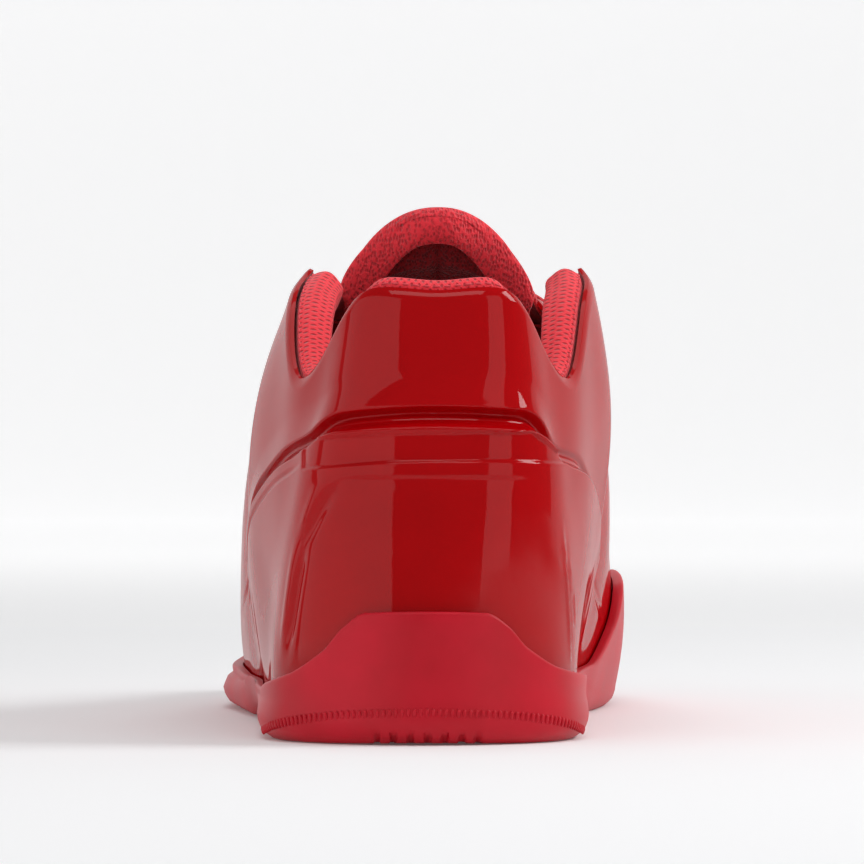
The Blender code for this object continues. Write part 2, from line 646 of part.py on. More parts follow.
def insole():
    """Sock liner that lies on the bed, clear of the shell."""
    turns = rib_places()
    rows = []
    for turn in turns:
        out_x, out_y = outward(turn)
        face = shell(turn, FINE_RISE, SHELL_WALL)
        y = float(foot_y(turn))
        low, middle_y = float(bed(y)) + CLEARANCE, float(spine_y(turn))
        middle_x, middle_z = float(axis_x(middle_y)), float(bed(middle_y)) + CLEARANCE
        points = [(middle_x, middle_y, middle_z)]
        section = (
            (low, INSOLE_GAP + INSOLE_BEVEL),
            (low + INSOLE_BEVEL, INSOLE_GAP),
            (low + INSOLE_THICKNESS, INSOLE_GAP),
        )
        for z, gap in section:
            at_x, at_y = np.interp(z, face[:, 2], face[:, 0]), np.interp(z, face[:, 2], face[:, 1])
            points.append((at_x - out_x * gap, at_y - out_y * gap, z))
        points.append((middle_x, middle_y, middle_z + INSOLE_THICKNESS))
        rows.append(points)
    return loft("insole", np.array(rows), "lining")


def upper():
    """The patent shell: one open surface with a wall, its ledge a step in it, and eyelet holes."""
    turns = rib_places(THROAT_RIBS)
    at_ledge = rise_at_height(turns, ledge_z(turns))
    ends = edge_rise(turns)
    columns = [at_ledge * share for share in ROWS_BELOW]
    columns += [rise_at_height(turns, ledge_z(turns) + over * LEDGE_STEP) for over in ROWS_AT_LEDGE]
    above = columns[-1]
    columns += [above + (ends - above) * share for share in ROWS_ABOVE]
    rises = np.stack(columns, 1)
    body = loft("upper", shell(turns[:, None], rises), "patent")
    wall = body.modifiers.new("Wall", "SOLIDIFY")
    wall.thickness = SHELL_WALL * MM
    wall.offset = -1.0
    for side in (1, -1):
        for i, share in enumerate(EYELETS):
            place, normal = eyelet(share * LENGTH, side)
            bpy.ops.mesh.primitive_cylinder_add(
                vertices=EYELET_SIDES, radius=EYELET_DIAMETER / 2 * MM, depth=6 * SHELL_WALL * MM
            )
            punch = bpy.context.object
            punch.name = f"eyelet_cutter_{'in' if side > 0 else 'out'}_{i + 1}"
            for owner in punch.users_collection:
                owner.objects.unlink(punch)
            parts.objects.link(punch)
            punch.rotation_mode = "QUATERNION"
            punch.rotation_quaternion = Vector(normal).to_track_quat("Z", "Y")
            punch.location = (place - ORIGIN) * MM
            make_cutter(punch)
            boolean(body, punch, "DIFFERENCE")
    return body


def on_instep(y, across, lift):
    """A point lifted off the instep, at a place along the shoe and a signed distance from the axis."""
    turns = turn_of(INSTEP_RIBS, 1 if across >= 0 else -1)
    grid = INSTEP_FORM[0 if across >= 0 else 1]
    rises = first_inside(grid, max(abs(across), 0.01))
    along = np.array([np.interp(rise, FINE_RISE, row[:, 1]) for rise, row in zip(rises, grid)])
    turn = np.interp(y, along, turns)
    rise = np.interp(y, along, rises)
    normal = form_normal(turn, rise)
    return form(turn, rise) + lift * normal, normal


def eyelet(y, side):
    """The middle and the direction of one eyelet hole."""
    return on_instep(y, side * (float(throat_half(y, side)) + EYELET_INSET), -SHELL_WALL / 2)


def collar_pad():
    """Padded knit that lines the collar from wing to wing and rolls over its edge."""
    places = rib_places()
    places = places[rib_of(places) <= FIRST_INSTEP_RIB - 1 + 1e-6]
    turns = np.sort(np.where(side_of(places) > 0, places, places - 2 * LAST_RIB))
    rings = []
    for turn in turns:
        # The last tenth of the rib gives its length and direction at the edge
        last_tenth = form(turn, 1.0) - form(turn, 0.9)
        rise = 1 - PAD_DEPTH / (10 * np.linalg.norm(last_tenth)) * np.array(PAD_ROWS)
        normal = form_normal(turn, 1.0)
        up = last_tenth / np.linalg.norm(last_tenth)
        outer = form(turn, rise)
        over = (outer[:, 2] - ledge_z(turn)) / LEDGE_STEP
        groove = PAD_CLEAR * ledge_step(turn) * (1 - ease(PAD_CLEAR_START, PAD_CLEAR_END, over))
        outer = outer - (SHELL_WALL + PAD_GAP + groove)[:, None] * form_normal(turn, rise)
        edge = form(turn, 1.0) - (SHELL_WALL + PAD_GAP) * normal
        stand = float(roll_stand(rib_of(turn)))
        roll = [
            edge - normal * PAD_THICKNESS * share_in + up * stand * share_up
            for share_in, share_up in ROLL_SECTION
        ]
        thick = PAD_THICKNESS * np.array(PAD_SWELL)
        back = outer[: len(thick)] - thick[:, None] * form_normal(turn, rise[: len(thick)])
        rings.append(np.concatenate([outer, roll, back[::-1]]))
    return tube_loft("collar_pad", np.array(rings), "knit")


def tongue():
    """Padded tongue under the throat, with a thick rolled top."""
    rings = []
    for row in TONGUE:
        at = dict(zip(TONGUE_COLUMNS, row))
        run = np.array([0.0, -at["back"], at["up"]]) * TONGUE_RISE
        along, half, thick = at["y"] * LENGTH, at["half"] * BALL_WIDTH, at["thick"] * TONGUE_THICKNESS
        top, under = [], []
        for share, swell in zip(TONGUE_ACROSS, TONGUE_SWELL):
            place, normal = on_instep(along, share * half, -(SHELL_WALL + TONGUE_GAP))
            top.append(place + run - normal * thick * (1 - swell) / 2)
            under.append(place + run - normal * thick * (1 + swell) / 2)
        rings.append(np.array(top + under[::-1]))
    return tube_loft("tongue", np.array(rings), "knit")


def lace_run(name, start, end, over=0.0):
    """A flat lace over the throat between two places, each a place along and one across."""
    start, end = np.array(start), np.array(end)
    rings = []
    for share in np.linspace(0.0, 1.0, LACE_STEPS):
        lift = LACE_GAP + LACE_THICKNESS * (0.5 + over * np.sin(np.pi * share) ** 2)
        along, across = start + share * (end - start)
        place, normal = on_instep(along, across, lift)
        ahead, _ = on_instep(*(start + (share + 0.02) * (end - start)), lift)
        wide = np.cross(normal, ahead - place)
        wide *= LACE_WIDTH / 2 / np.linalg.norm(wide)
        high = normal * LACE_THICKNESS / 2
        rings.append([place + wide - high, place + wide + high, place - wide + high, place - wide - high])
    return tube_loft(name, np.array(rings), "lace")


def laces():
    """A bar at the toe end, then crossings that start at one pair of eyelets and end at the edge of
    the throat, before the next pair."""
    along = np.array(EYELETS) * LENGTH
    last = len(along) - 1
    edge = throat_half(along, 1) - LACE_THICKNESS
    reach = edge + LACE_THICKNESS + EYELET_INSET - EYELET_DIAMETER
    lace_run("lace_bar", (along[last], reach[last]), (along[last], -reach[last]))
    for i in range(last):
        pitch = along[i + 1] - along[i]
        after_bar = i + 1 == last
        start_y = along[i + 1] - (FIRST_CROSS * pitch if after_bar else 0.0)
        start = throat_half(start_y, 1) if after_bar else reach[i + 1]
        end_y = along[i] + LACE_LANDING * pitch
        first = lace_run(f"lace_cross_{last - i}", (start_y, start), (end_y, -edge[i]))
        second = lace_run(f"lace_cutter_{last - i}", (start_y, -start), (end_y, edge[i]), CROSS_LIFT)
        make_cutter(second)
        boolean(first, second, "UNION")


def clear_scene():
    for obj in list(bpy.data.objects):
        bpy.data.objects.remove(obj, do_unlink=True)


def origin():
    """The middle of the sole's outline on the ground."""
    turns = rib_places()
    points = np.array([sole_profile(turn) for turn in turns], float).reshape(-1, 3)
    low, high = points.min(axis=0), points.max(axis=0)
    return np.array([(low[0] + high[0]) / 2, (low[1] + high[1]) / 2, 0.0])


clear_scene()
parts = bpy.data.collections.new("basketball_shoe")
cutters = bpy.data.collections.new("cutters")
bpy.context.scene.collection.children.link(parts)
bpy.context.scene.collection.children.link(cutters)
ORIGIN = origin()
sole()
insole()
upper()
collar_pad()
tongue()
laces()
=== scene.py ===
"""Looks of a left low-top basketball shoe seen from behind: patent shell, knit collar and tongue,
rubber cup sole. Lengths are the shoe's own millimetres (X inner side, Y heel to toe, Z up)."""

import math

import bmesh
import bpy
import numpy as np
from mathutils import Matrix, Vector


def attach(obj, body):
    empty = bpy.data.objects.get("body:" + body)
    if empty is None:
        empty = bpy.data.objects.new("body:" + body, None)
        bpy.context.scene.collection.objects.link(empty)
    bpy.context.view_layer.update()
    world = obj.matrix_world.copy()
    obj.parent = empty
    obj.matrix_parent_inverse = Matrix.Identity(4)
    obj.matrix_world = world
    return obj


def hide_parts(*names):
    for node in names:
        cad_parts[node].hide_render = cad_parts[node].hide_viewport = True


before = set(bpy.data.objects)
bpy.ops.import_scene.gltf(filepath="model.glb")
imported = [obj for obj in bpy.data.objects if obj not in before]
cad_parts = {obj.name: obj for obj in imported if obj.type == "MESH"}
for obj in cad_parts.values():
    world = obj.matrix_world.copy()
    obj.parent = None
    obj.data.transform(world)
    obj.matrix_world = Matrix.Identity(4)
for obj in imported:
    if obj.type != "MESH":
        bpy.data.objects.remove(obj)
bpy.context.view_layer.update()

# Camera. It stands 1.4 m behind the heel and 80 mm over the floor, as in the photograph, and looks
# level along the shoe. A longer lens frames the one shoe.
MM = 0.001
MIDDLE = np.array([-0.115, 148.652, 0.0])
CAMERA_BEHIND_HEEL, CAMERA_HEIGHT, CAMERA_RIGHT = 1400.0, 80.0, 2.2
LENS, SENSOR, LENS_DROP, FAR_CLIP = 236.0, 36.0, -0.012, 20.0


def into_scene(name, data):
    """An object that holds this data, put in the scene."""
    obj = bpy.data.objects.new(name, data)
    bpy.context.scene.collection.objects.link(obj)
    return obj


camera = into_scene("camera", bpy.data.cameras.new("camera"))
camera.data.lens = LENS
camera.data.sensor_width = SENSOR
camera.data.clip_end = FAR_CLIP
camera.data.shift_y = LENS_DROP
camera.location = (CAMERA_RIGHT * MM, (-CAMERA_BEHIND_HEEL - MIDDLE[1]) * MM, CAMERA_HEIGHT * MM)
camera.rotation_euler = (math.pi / 2, 0.0, 0.0)
bpy.context.scene.camera = camera

# Patent shell. One moulded skin 2 mm thick from the sole to the collar, open at the collar, throat
# and underneath. Its heel counter stands out under a ledge, and a shallow strip is pressed into it.
LENGTH, BALL_WIDTH, COLLAR_HEIGHT, INSTEP_HEIGHT = 300.0, 111.0, 113.0, 128.0
SHELL_WALL, CLEARANCE, SOLE_FLOOR = 2.0, 0.5, 5.0
TOE_SPRING, ARCH_HOLLOW, HEEL_BEVEL, LEDGE_STEP = 13.0, 3.0, 1.2, 4.0
FIRST_INSTEP_RIB, LAST_RIB = 6, 12


def table(names, *rows):
    """The columns of a table by name."""
    return dict(zip(names.split(), np.array(rows, float).T))


RIBS = table(
    "foot_y foot_in foot_out top_y top_in top_out top_z",
    (0.023, 0.000, 0.000, 0.045, 0.000, 0.000, 1.000),
    (0.050, 0.216, 0.216, 0.058, 0.164, 0.164, 1.000),
    (0.110, 0.308, 0.311, 0.103, 0.245, 0.252, 0.885),
    (0.200, 0.318, 0.329, 0.173, 0.320, 0.332, 0.812),
    (0.305, 0.312, 0.347, 0.260, 0.356, 0.351, 0.982),
    (0.393, 0.330, 0.369, 0.337, 0.350, 0.312, 1.071),
    (0.467, 0.365, 0.401, 0.393, 0.235, 0.240, 1.000),
    (0.567, 0.412, 0.432, 0.500, 0.200, 0.200, 0.844),
    (0.667, 0.452, 0.446, 0.617, 0.155, 0.155, 0.656),
    (0.767, 0.448, 0.424, 0.707, 0.150, 0.150, 0.543),
    (0.865, 0.402, 0.358, 0.775, 0.150, 0.150, 0.475),
    (0.943, 0.270, 0.218, 0.822, 0.150, 0.150, 0.440),
    (0.976, 0.045, -0.045, 0.845, 0.150, 0.150, 0.421),
)
BOWS = table(
    "rise bulge_in bulge_out pull_in pull_out lean_in lean_out",
    (0.310, -0.005, -0.005, 0.310, 0.310, 80.0, 80.0),
    (0.310, 0.000, 0.000, 0.292, 0.292, 80.0, 80.0),
    (0.292, 0.003, 0.003, 0.265, 0.265, 84.0, 84.0),
    (0.265, 0.032, 0.014, 0.221, 0.221, 87.0, 87.0),
    (0.398, 0.090, 0.063, 0.292, 0.292, 83.0, 79.0),
    (0.496, 0.135, 0.090, 0.336, 0.336, 72.0, 62.0),
    (0.549, 0.162, 0.099, 0.504, 0.496, 60.0, 60.0),
    (0.425, 0.117, 0.090, 0.460, 0.451, 60.0, 60.0),
    (0.319, 0.081, 0.072, 0.389, 0.389, 60.0, 60.0),
    (0.265, 0.063, 0.054, 0.336, 0.336, 60.0, 60.0),
    (0.239, 0.045, 0.045, 0.301, 0.301, 60.0, 60.0),
    (0.221, 0.036, 0.036, 0.248, 0.248, 60.0, 60.0),
    (0.221, 0.027, 0.027, 0.212, 0.212, 60.0, 60.0),
)
LEDGE = table(
    "rib in_z out_z step",
    (0, 0.704, 0.704, 1.00),
    (1, 0.696, 0.692, 1.00),
    (2, 0.624, 0.646, 0.85),
    (3, 0.597, 0.611, 0.75),
    (4, 0.522, 0.540, 0.65),
    (5, 0.407, 0.416, 0.40),
    (6, 0.274, 0.274, 0.17),
    (7, 0.212, 0.212, 0.00),
    (12, 0.265, 0.265, 0.00),
)
STEP_START, STEP_END = -0.375, 0.25
FOOT_FADE = 0.12
SPINE = (0.12, 0.13, 0.16, 0.22, 0.31, 0.39, 0.46, 0.56, 0.66, 0.75, 0.82, 0.86, 0.88)
AXIS = table("y x", (0.0, 0.030), (0.30, 0.032), (0.45, 0.034), (0.70, 0.038), (1.0, 0.040))
THROAT = table(
    "y half_in half_out",
    (0.337, 0.350, 0.312),
    (0.360, 0.305, 0.288),
    (0.385, 0.280, 0.272),
    (0.420, 0.250, 0.246),
    (0.520, 0.185, 0.185),
    (0.640, 0.150, 0.150),
)
THROAT_FRONT, THROAT_ROUND = 0.672, 0.050
EYELETS = (0.405, 0.453, 0.501, 0.549, 0.597, 0.645)
EYELET_DIAMETER, EYELET_INSET = 4.6, 8.0
SPRING_START, SPRING_CURVE, BEVEL_END = 0.66, 1.8, 0.05
ARCH = (0.30, 0.38, 0.42, 0.50)
FINE_STEPS, INSTEP_STEPS = 161, 50
INSTEP_REACH = (5.1, 10.0)
STEP = 1e-3


def held(a, b, f):
    """From a to b while f goes from 0 to 1, level at both ends."""
    return a * (1 + 2 * f) * (1 - f) ** 2 + b * (3 - 2 * f) * f**2


def around(inner, outer=None, outer_sign=1.0):
    """A smooth closed curve through one value a rib: heel, inner side, toe, outer side."""
    outer = inner if outer is None else outer
    knots = np.concatenate([inner, outer_sign * np.array(outer)[-2:0:-1]])
    count = len(knots)
    ring = np.eye(count)
    system = 4 * ring + np.roll(ring, 1, 0) + np.roll(ring, -1, 0)
    slopes = np.linalg.solve(system, 3 * (np.roll(knots, -1) - np.roll(knots, 1)))

    def at(turn):
        start = np.floor(turn).astype(int) % count
        end = (start + 1) % count
        f = turn - np.floor(turn)
        level = held(knots[start], knots[end], f)
        return level + slopes[start] * f * (1 - f) ** 2 - slopes[end] * (1 - f) * f**2

    return at


def steady(xs, ys, level_ends=True):
    """A smooth curve through a table's rows that never swings past them."""
    xs, ys = np.array(xs, float), np.array(ys, float)
    gaps = np.diff(xs)
    grades = np.diff(ys) / gaps
    slopes = np.zeros(len(xs))
    rising = grades[:-1] * grades[1:] > 0
    left, right = 2 * gaps[1:] + gaps[:-1], gaps[1:] + 2 * gaps[:-1]
    safe_a, safe_b = (np.where(rising, part, 1.0) for part in (grades[:-1], grades[1:]))
    slopes[1:-1] = np.where(rising, (left + right) / (left / safe_a + right / safe_b), 0.0)
    if not level_ends:
        slopes[0], slopes[-1] = grades[0], grades[-1]

    def at(x):
        x = np.clip(x, xs[0], xs[-1])
        i = np.clip(np.searchsorted(xs, x, side="right") - 1, 0, len(xs) - 2)
        f = (x - xs[i]) / gaps[i]
        lift = slopes[i] * f * (1 - f) ** 2 - slopes[i + 1] * (1 - f) * f**2
        return held(ys[i], ys[i + 1], f) + gaps[i] * lift

    return at


def ease(start, end, x):
    """0 before start, 1 after end, and a smooth rise between."""
    f = np.clip((x - start) / (end - start), 0.0, 1.0)
    return f * f * (3 - 2 * f)


def rib_of(turn):
    """The rib number, 0 at the heel and LAST_RIB at the toe, whichever side turn is on."""
    turn = np.mod(turn, 2 * LAST_RIB)
    return np.minimum(turn, 2 * LAST_RIB - turn)


def side_of(turn):
    """1 on the inner side and -1 on the outer side."""
    return np.where(np.mod(turn, 2 * LAST_RIB) <= LAST_RIB, 1.0, -1.0)


def turn_of(rib, side):
    """The place round the shoe of a rib on the inner (1) or outer (-1) side."""
    return np.where(side > 0, rib, 2 * LAST_RIB - np.asarray(rib, float))


def by_side(rows, inner, outer, size):
    """A curve over the ribs that has a column for each side, in shares of a size."""
    on_inner, on_outer = (steady(rows["rib"], rows[name] * size) for name in (inner, outer))
    return lambda turn: np.where(side_of(turn) > 0, on_inner(rib_of(turn)), on_outer(rib_of(turn)))


foot_x = around(RIBS["foot_in"] * BALL_WIDTH, RIBS["foot_out"] * BALL_WIDTH, -1.0)
foot_y = around(RIBS["foot_y"] * LENGTH)
top_y = around(RIBS["top_y"] * LENGTH)
top_half = around(RIBS["top_in"] * BALL_WIDTH, RIBS["top_out"] * BALL_WIDTH, -1.0)
size_there = np.where(np.arange(LAST_RIB + 1) < FIRST_INSTEP_RIB, COLLAR_HEIGHT, INSTEP_HEIGHT)
top_height = around(RIBS["top_z"] * size_there)
bow_rise = around(BOWS["rise"] * COLLAR_HEIGHT)
bow_bulge = around(BOWS["bulge_in"] * BALL_WIDTH, BOWS["bulge_out"] * BALL_WIDTH)
bow_pull = around(BOWS["pull_in"] * COLLAR_HEIGHT, BOWS["pull_out"] * COLLAR_HEIGHT)
bow_lean = around(np.radians(BOWS["lean_in"]), np.radians(BOWS["lean_out"]))
spine_y = around(np.array(SPINE) * LENGTH)
axis_x = steady(AXIS["y"] * LENGTH, AXIS["x"] * BALL_WIDTH)
instep_z = steady(
    RIBS["top_y"][FIRST_INSTEP_RIB - 1 :] * LENGTH,
    np.append(
        RIBS["top_z"][FIRST_INSTEP_RIB - 1] * COLLAR_HEIGHT + (INSTEP_HEIGHT - COLLAR_HEIGHT),
        RIBS["top_z"][FIRST_INSTEP_RIB:] * INSTEP_HEIGHT,
    ),
    level_ends=False,
)
throat_in, throat_out = (
    steady(THROAT["y"] * LENGTH, THROAT[name] * BALL_WIDTH) for name in ("half_in", "half_out")
)
ledge_z = by_side(LEDGE, "in_z", "out_z", COLLAR_HEIGHT)
ledge_step = by_side(LEDGE, "step", "step", LEDGE_STEP)


def toe_spring(y):
    """How far the toe curves up off the ground."""
    past = np.clip(np.asarray(y, float) / LENGTH - SPRING_START, 0, None)
    return TOE_SPRING * (past / (1 - SPRING_START)) ** SPRING_CURVE


def ground(y):
    """The underside of the sole: heel bevel, hollow arch and toe spring, flat between them."""
    share = np.asarray(y, float) / LENGTH
    bevel = HEEL_BEVEL * (np.clip(BEVEL_END - share, 0, None) / BEVEL_END) ** 2
    arch = ARCH_HOLLOW * ease(ARCH[0], ARCH[1], share) * (1 - ease(ARCH[2], ARCH[3], share))
    return toe_spring(y) + bevel + arch


def unit(vectors):
    """The same directions, each one long."""
    return vectors / np.linalg.norm(vectors, axis=-1, keepdims=True)


def outward(turn):
    """The level direction out of the shoe at the foot of the shell."""
    along_x, along_y = (at(turn + STEP) - at(turn - STEP) for at in (foot_x, foot_y))
    size = np.hypot(along_x, along_y)
    return along_y / size, -along_x / size


def form(turn, rise):
    """Points of the shell's smooth form, without its ledge. rise is 0 at the foot, 1 at the top."""
    turn, rise = np.broadcast_arrays(np.asarray(turn, float), np.asarray(rise, float))
    collar = 1 - ease(FIRST_INSTEP_RIB - 1, FIRST_INSTEP_RIB, rib_of(turn))
    out_x, out_y = outward(turn)
    foot = np.stack([foot_x(turn), foot_y(turn), ground(foot_y(turn)) + SOLE_FLOOR + CLEARANCE], -1)
    edge_y = top_y(turn)
    edge_z = collar * top_height(turn) + (1 - collar) * instep_z(edge_y)
    edge = np.stack([axis_x(edge_y) + collar * top_half(turn), edge_y, edge_z], -1)
    low = foot + np.stack([bow_bulge(turn) * out_x, bow_bulge(turn) * out_y, bow_rise(turn)], -1)
    down_x, down_y = foot[..., 0] - edge[..., 0], foot[..., 1] - edge[..., 1]
    size = np.maximum(np.hypot(down_x, down_y), 1e-6)
    ahead_y = np.minimum(edge_y + 1.0, RIBS["top_y"][-1] * LENGTH)
    slope = (instep_z(ahead_y) - instep_z(ahead_y - 2.0)) / 2.0
    lean, pull = bow_lean(turn), bow_pull(turn)
    step_x = collar * out_x * np.cos(lean) + (1 - collar) * down_x / size
    step_y = collar * out_y * np.cos(lean) + (1 - collar) * down_y / size
    step_z = -collar * np.sin(lean) + (1 - collar) * slope * down_y / size
    high = edge + pull[..., None] * np.stack([step_x, step_y, step_z], -1)
    f = rise[..., None]
    return (1 - f) ** 3 * foot + 3 * (1 - f) ** 2 * f * low + 3 * (1 - f) * f**2 * high + f**3 * edge


def form_normal(turn, rise):
    """The outward direction of the smooth form, which its two sides share along the instep."""
    turn, rise = np.broadcast_arrays(np.asarray(turn, float), np.asarray(rise, float))
    rise = np.clip(rise, STEP, 1 - 2 * STEP)
    along = form(turn + STEP, rise) - form(turn - STEP, rise)
    up = form(turn, rise + STEP) - form(turn, rise - STEP)
    return unit(np.cross(along, up))


def skin(turn, rise):
    """Points of the smooth form and the directions out of it, level at the foot."""
    points, normal = form(turn, rise), form_normal(turn, rise)
    normal[..., 2] *= ease(0.0, FOOT_FADE, np.broadcast_to(rise, normal.shape[:-1]))
    return points, normal


def counter_step(turn, z):
    """How far the heel counter stands out at a height: in full under the ledge, not over it."""
    return ledge_step(turn) * (1 - ease(STEP_START, STEP_END, (z - ledge_z(turn)) / LEDGE_STEP))


# What is pressed into the counter, in the shoe's own millimetres: the flare over the ledge, the
# strip under it, and the creases, each as a soft trough with a ridge beside it.
FLARE_TOP, FLARE_FOOT, FLARE_START, FLARE_STAND, FLARE_CURVE = 3.3, 1.1, 0.78, 0.42, 1.5
FLARE_POINT = (27.0, 35.0)
GROOVE_DEEP, GROOVE_AT, GROOVE_HALF = 0.32, 0.66, 0.24
STRIP_DEEP, STRIP_EDGE, STRIP_END = 0.75, 0.6, -27.5
STRIP = table(
    "x low high",
    (-40.0, 66.2, 74.2),
    (-28.0, 67.4, 75.4),
    (-7.0, 69.4, 77.2),
    (20.0, 69.8, 77.6),
    (40.0, 68.8, 77.4),
)
STRIP_SLANT = ((25.0, 77.5), (34.5, 69.0))
COUNTER_BACK = (30.0, 45.0)
LINE_Z, LINE_HALF, LINE_DEEP, LINE_MIDDLE, LINE_REACH = 65.2, 0.8, 0.22, 2.0, (14.0, 24.0)
SECOND_AT, SECOND_HALF, SECOND_DEEP, SECOND_REACH = -1.15, 0.16, 0.40, (-26.0, -33.0)
# Each crease: side, place along and height of both its ends, half its width, depth.
CREASES = (
    (-1, 13.0, 66.0, 20.0, 48.0, 1.2, 0.90),
    (-1, 19.0, 54.0, 24.0, 18.0, 1.5, 0.90),
    (1, 22.0, 47.0, 34.0, 38.0, 0.9, 0.35),
    (1, 34.0, 38.0, 37.0, 27.0, 0.8, 0.30),
    (1, 26.0, 40.0, 36.0, 33.0, 0.8, 0.25),
    (1, 24.0, 56.0, 31.0, 15.0, 1.2, -0.50),
    (1, 148.0, 62.0, 172.0, 44.0, 3.0, 0.45),
    (-1, 146.0, 64.0, 176.0, 46.0, 3.2, 0.50),
    (-1, 176.0, 58.0, 196.0, 42.0, 2.6, 0.40),
    (1, 180.0, 56.0, 199.0, 42.0, 2.6, 0.40),
)
EDGE_CURL, EDGE_CURL_WIDE = 0.9, 3.2
SHELL_ROWS = (34, 40, 20)
BAND_TOP, BAND_SPREAD, TOP_CROWD = 0.93, 0.0005, 1.6
FAR_FROM_EDGE = 99.0
SHELL_STEPS = (48, 48, 34, 22, 18, 22, 22, 16, 16, 14, 12, 12)
WELD = 2e-6
COUNTER_BAND = np.concatenate(
    [np.linspace(-14.0, -1.9, 27), np.linspace(-1.6, 5.0, 28), np.linspace(5.4, 16.0, 12)]
)
FINE_RISE = np.linspace(0.0, 1.0, FINE_STEPS)


def crease_relief(points, side):
    """Soft troughs, each with a low ridge above it, along short lines on the shoe's sides."""
    out = np.zeros(points.shape[:-1])
    for its_side, y, z, to_y, to_z, half, deep in CREASES:
        run = np.array([to_y - y, to_z - z])
        long = np.hypot(*run)
        run /= long
        off = points[..., 1:] - (y, z)
        along = np.clip(off @ run, 0.0, long)
        across = off @ np.array([-run[1], run[0]])
        past = np.hypot(*np.moveaxis(off - along[..., None] * run, -1, 0))
        taper = ease(0.0, 0.35 * long, along) * ease(0.0, 0.35 * long, long - along)
        trough = np.exp(-((past / half) ** 2))
        ridge = np.exp(-(((past - 2.2 * half) / (1.3 * half)) ** 2)) * (across > 0)
        out += np.where(side == its_side, deep * taper * (0.5 * ridge - trough), 0.0)
    return out


def counter_relief(points, turn):
    """The ledge with its flare and groove, and the strip and the two lines pressed in under it."""
    x, z = points[..., 0], points[..., 2]
    step = ledge_step(turn)
    above = (z - ledge_z(turn)) / LEDGE_STEP
    counter = 1 - ease(STEP_START, STEP_END, above)
    rise = np.clip((FLARE_TOP - above) / (FLARE_TOP - FLARE_FOOT), 0.0, 1.0) ** FLARE_CURVE
    flare = FLARE_STAND * rise * ease(FLARE_START, FLARE_FOOT, above)
    flare *= np.where(side_of(turn) > 0, 1 - ease(*FLARE_POINT, x), 1.0)
    groove = GROOVE_DEEP * np.exp(-(((above - GROOVE_AT) / GROOVE_HALF) ** 2))
    out = step * (counter + flare - groove)
    low, high = (steady(STRIP["x"], STRIP[name])(x) for name in ("low", "high"))
    (top_x, top_z), (low_x, low_z) = STRIP_SLANT
    slant = top_x + (low_x - top_x) * (z - top_z) / (low_z - top_z)
    inside = ease(0.0, STRIP_EDGE, z - low) * ease(0.0, STRIP_EDGE, high - z)
    inside *= ease(0.0, STRIP_EDGE, x - STRIP_END) * ease(0.0, STRIP_EDGE, slant - x)
    back = 1 - ease(*COUNTER_BACK, points[..., 1])
    out -= STRIP_DEEP * inside * back
    second = np.exp(-(((above - SECOND_AT) / SECOND_HALF) ** 2)) * (side_of(turn) < 0)
    out -= SECOND_DEEP * (second * ease(*SECOND_REACH, x)) * (step > 1.0)
    line = LINE_DEEP * np.exp(-(((z - LINE_Z) / LINE_HALF) ** 2))
    return out - line * (1 - ease(*LINE_REACH, np.abs(x - LINE_MIDDLE))) * back


def shell(turn, rise, to_edge=None):
    """Points of the shell's outer face. to_edge is how far each lies from the edge, in millimetres."""
    points, normal = skin(turn, rise)
    out = counter_relief(points, turn) + crease_relief(points, side_of(turn))
    if to_edge is not None:
        out = out - EDGE_CURL * (1 - np.clip(to_edge / EDGE_CURL_WIDE, 0.0, 1.0)) ** 2
    return points + out[..., None] * normal


def throat_half(y, side):
    """Half the width of the throat at a place along the shoe. Its front is round."""
    to_front = np.clip((THROAT_FRONT * LENGTH - y) / (THROAT_ROUND * LENGTH), 0.0, 1.0)
    half = np.where(side > 0, throat_in(y), throat_out(y))
    return half * np.sqrt(1 - (1 - to_front) ** 2)


def first_inside(points, halves):
    """The share of each rib at which it comes within a distance of the axis."""
    over = np.abs(points[..., 0] - axis_x(points[..., 1])) - halves
    found = np.ones(len(points))
    for i, rib in enumerate(over):
        inside = np.flatnonzero((rib[1:] <= 0) & (rib[:-1] > 0))
        if len(inside) and rib[-1] < 0:
            j = inside[-1]
            found[i] = np.interp(0.0, [-rib[j], -rib[j + 1]], [FINE_RISE[j], FINE_RISE[j + 1]])
    return found


def edge_rise(turns):
    """The end of each rib: the collar's edge, the throat's edge or the instep line."""
    points = form(turns[:, None], FINE_RISE)
    ends = first_inside(points, throat_half(points[..., 1], side_of(turns)[:, None]))
    return np.where(rib_of(turns) <= FIRST_INSTEP_RIB - 1, 1.0, ends)


def rises_at_heights(turns, heights):
    """Where each rib reaches each of its heights."""
    ups = form(turns[:, None], FINE_RISE)[..., 2]
    return np.array([np.interp(height, up, FINE_RISE) for height, up in zip(heights, ups)])


def turn_places(steps):
    """Places round the shoe, the same on both sides. steps gives how many lie between two ribs."""
    ribs = [i + np.arange(count) / count for i, count in enumerate(steps)]
    inner = np.concatenate([*ribs, [float(LAST_RIB)]])
    return np.concatenate([inner, 2 * LAST_RIB - inner[-2:0:-1]])


def in_frame(points):
    """The shoe's millimetres as metres from the frame's origin."""
    return ((np.asarray(points) - MIDDLE) * MM).tolist()


def welded(obj):
    """The object with points in one place joined and its faces turned outwards."""
    work = bmesh.new()
    work.from_mesh(obj.data)
    bmesh.ops.remove_doubles(work, verts=work.verts, dist=WELD)
    if work.calc_volume(signed=True) < 0:
        bmesh.ops.reverse_faces(work, faces=work.faces)
    work.to_mesh(obj.data)
    work.free()
    obj.data.shade_smooth()
    return obj


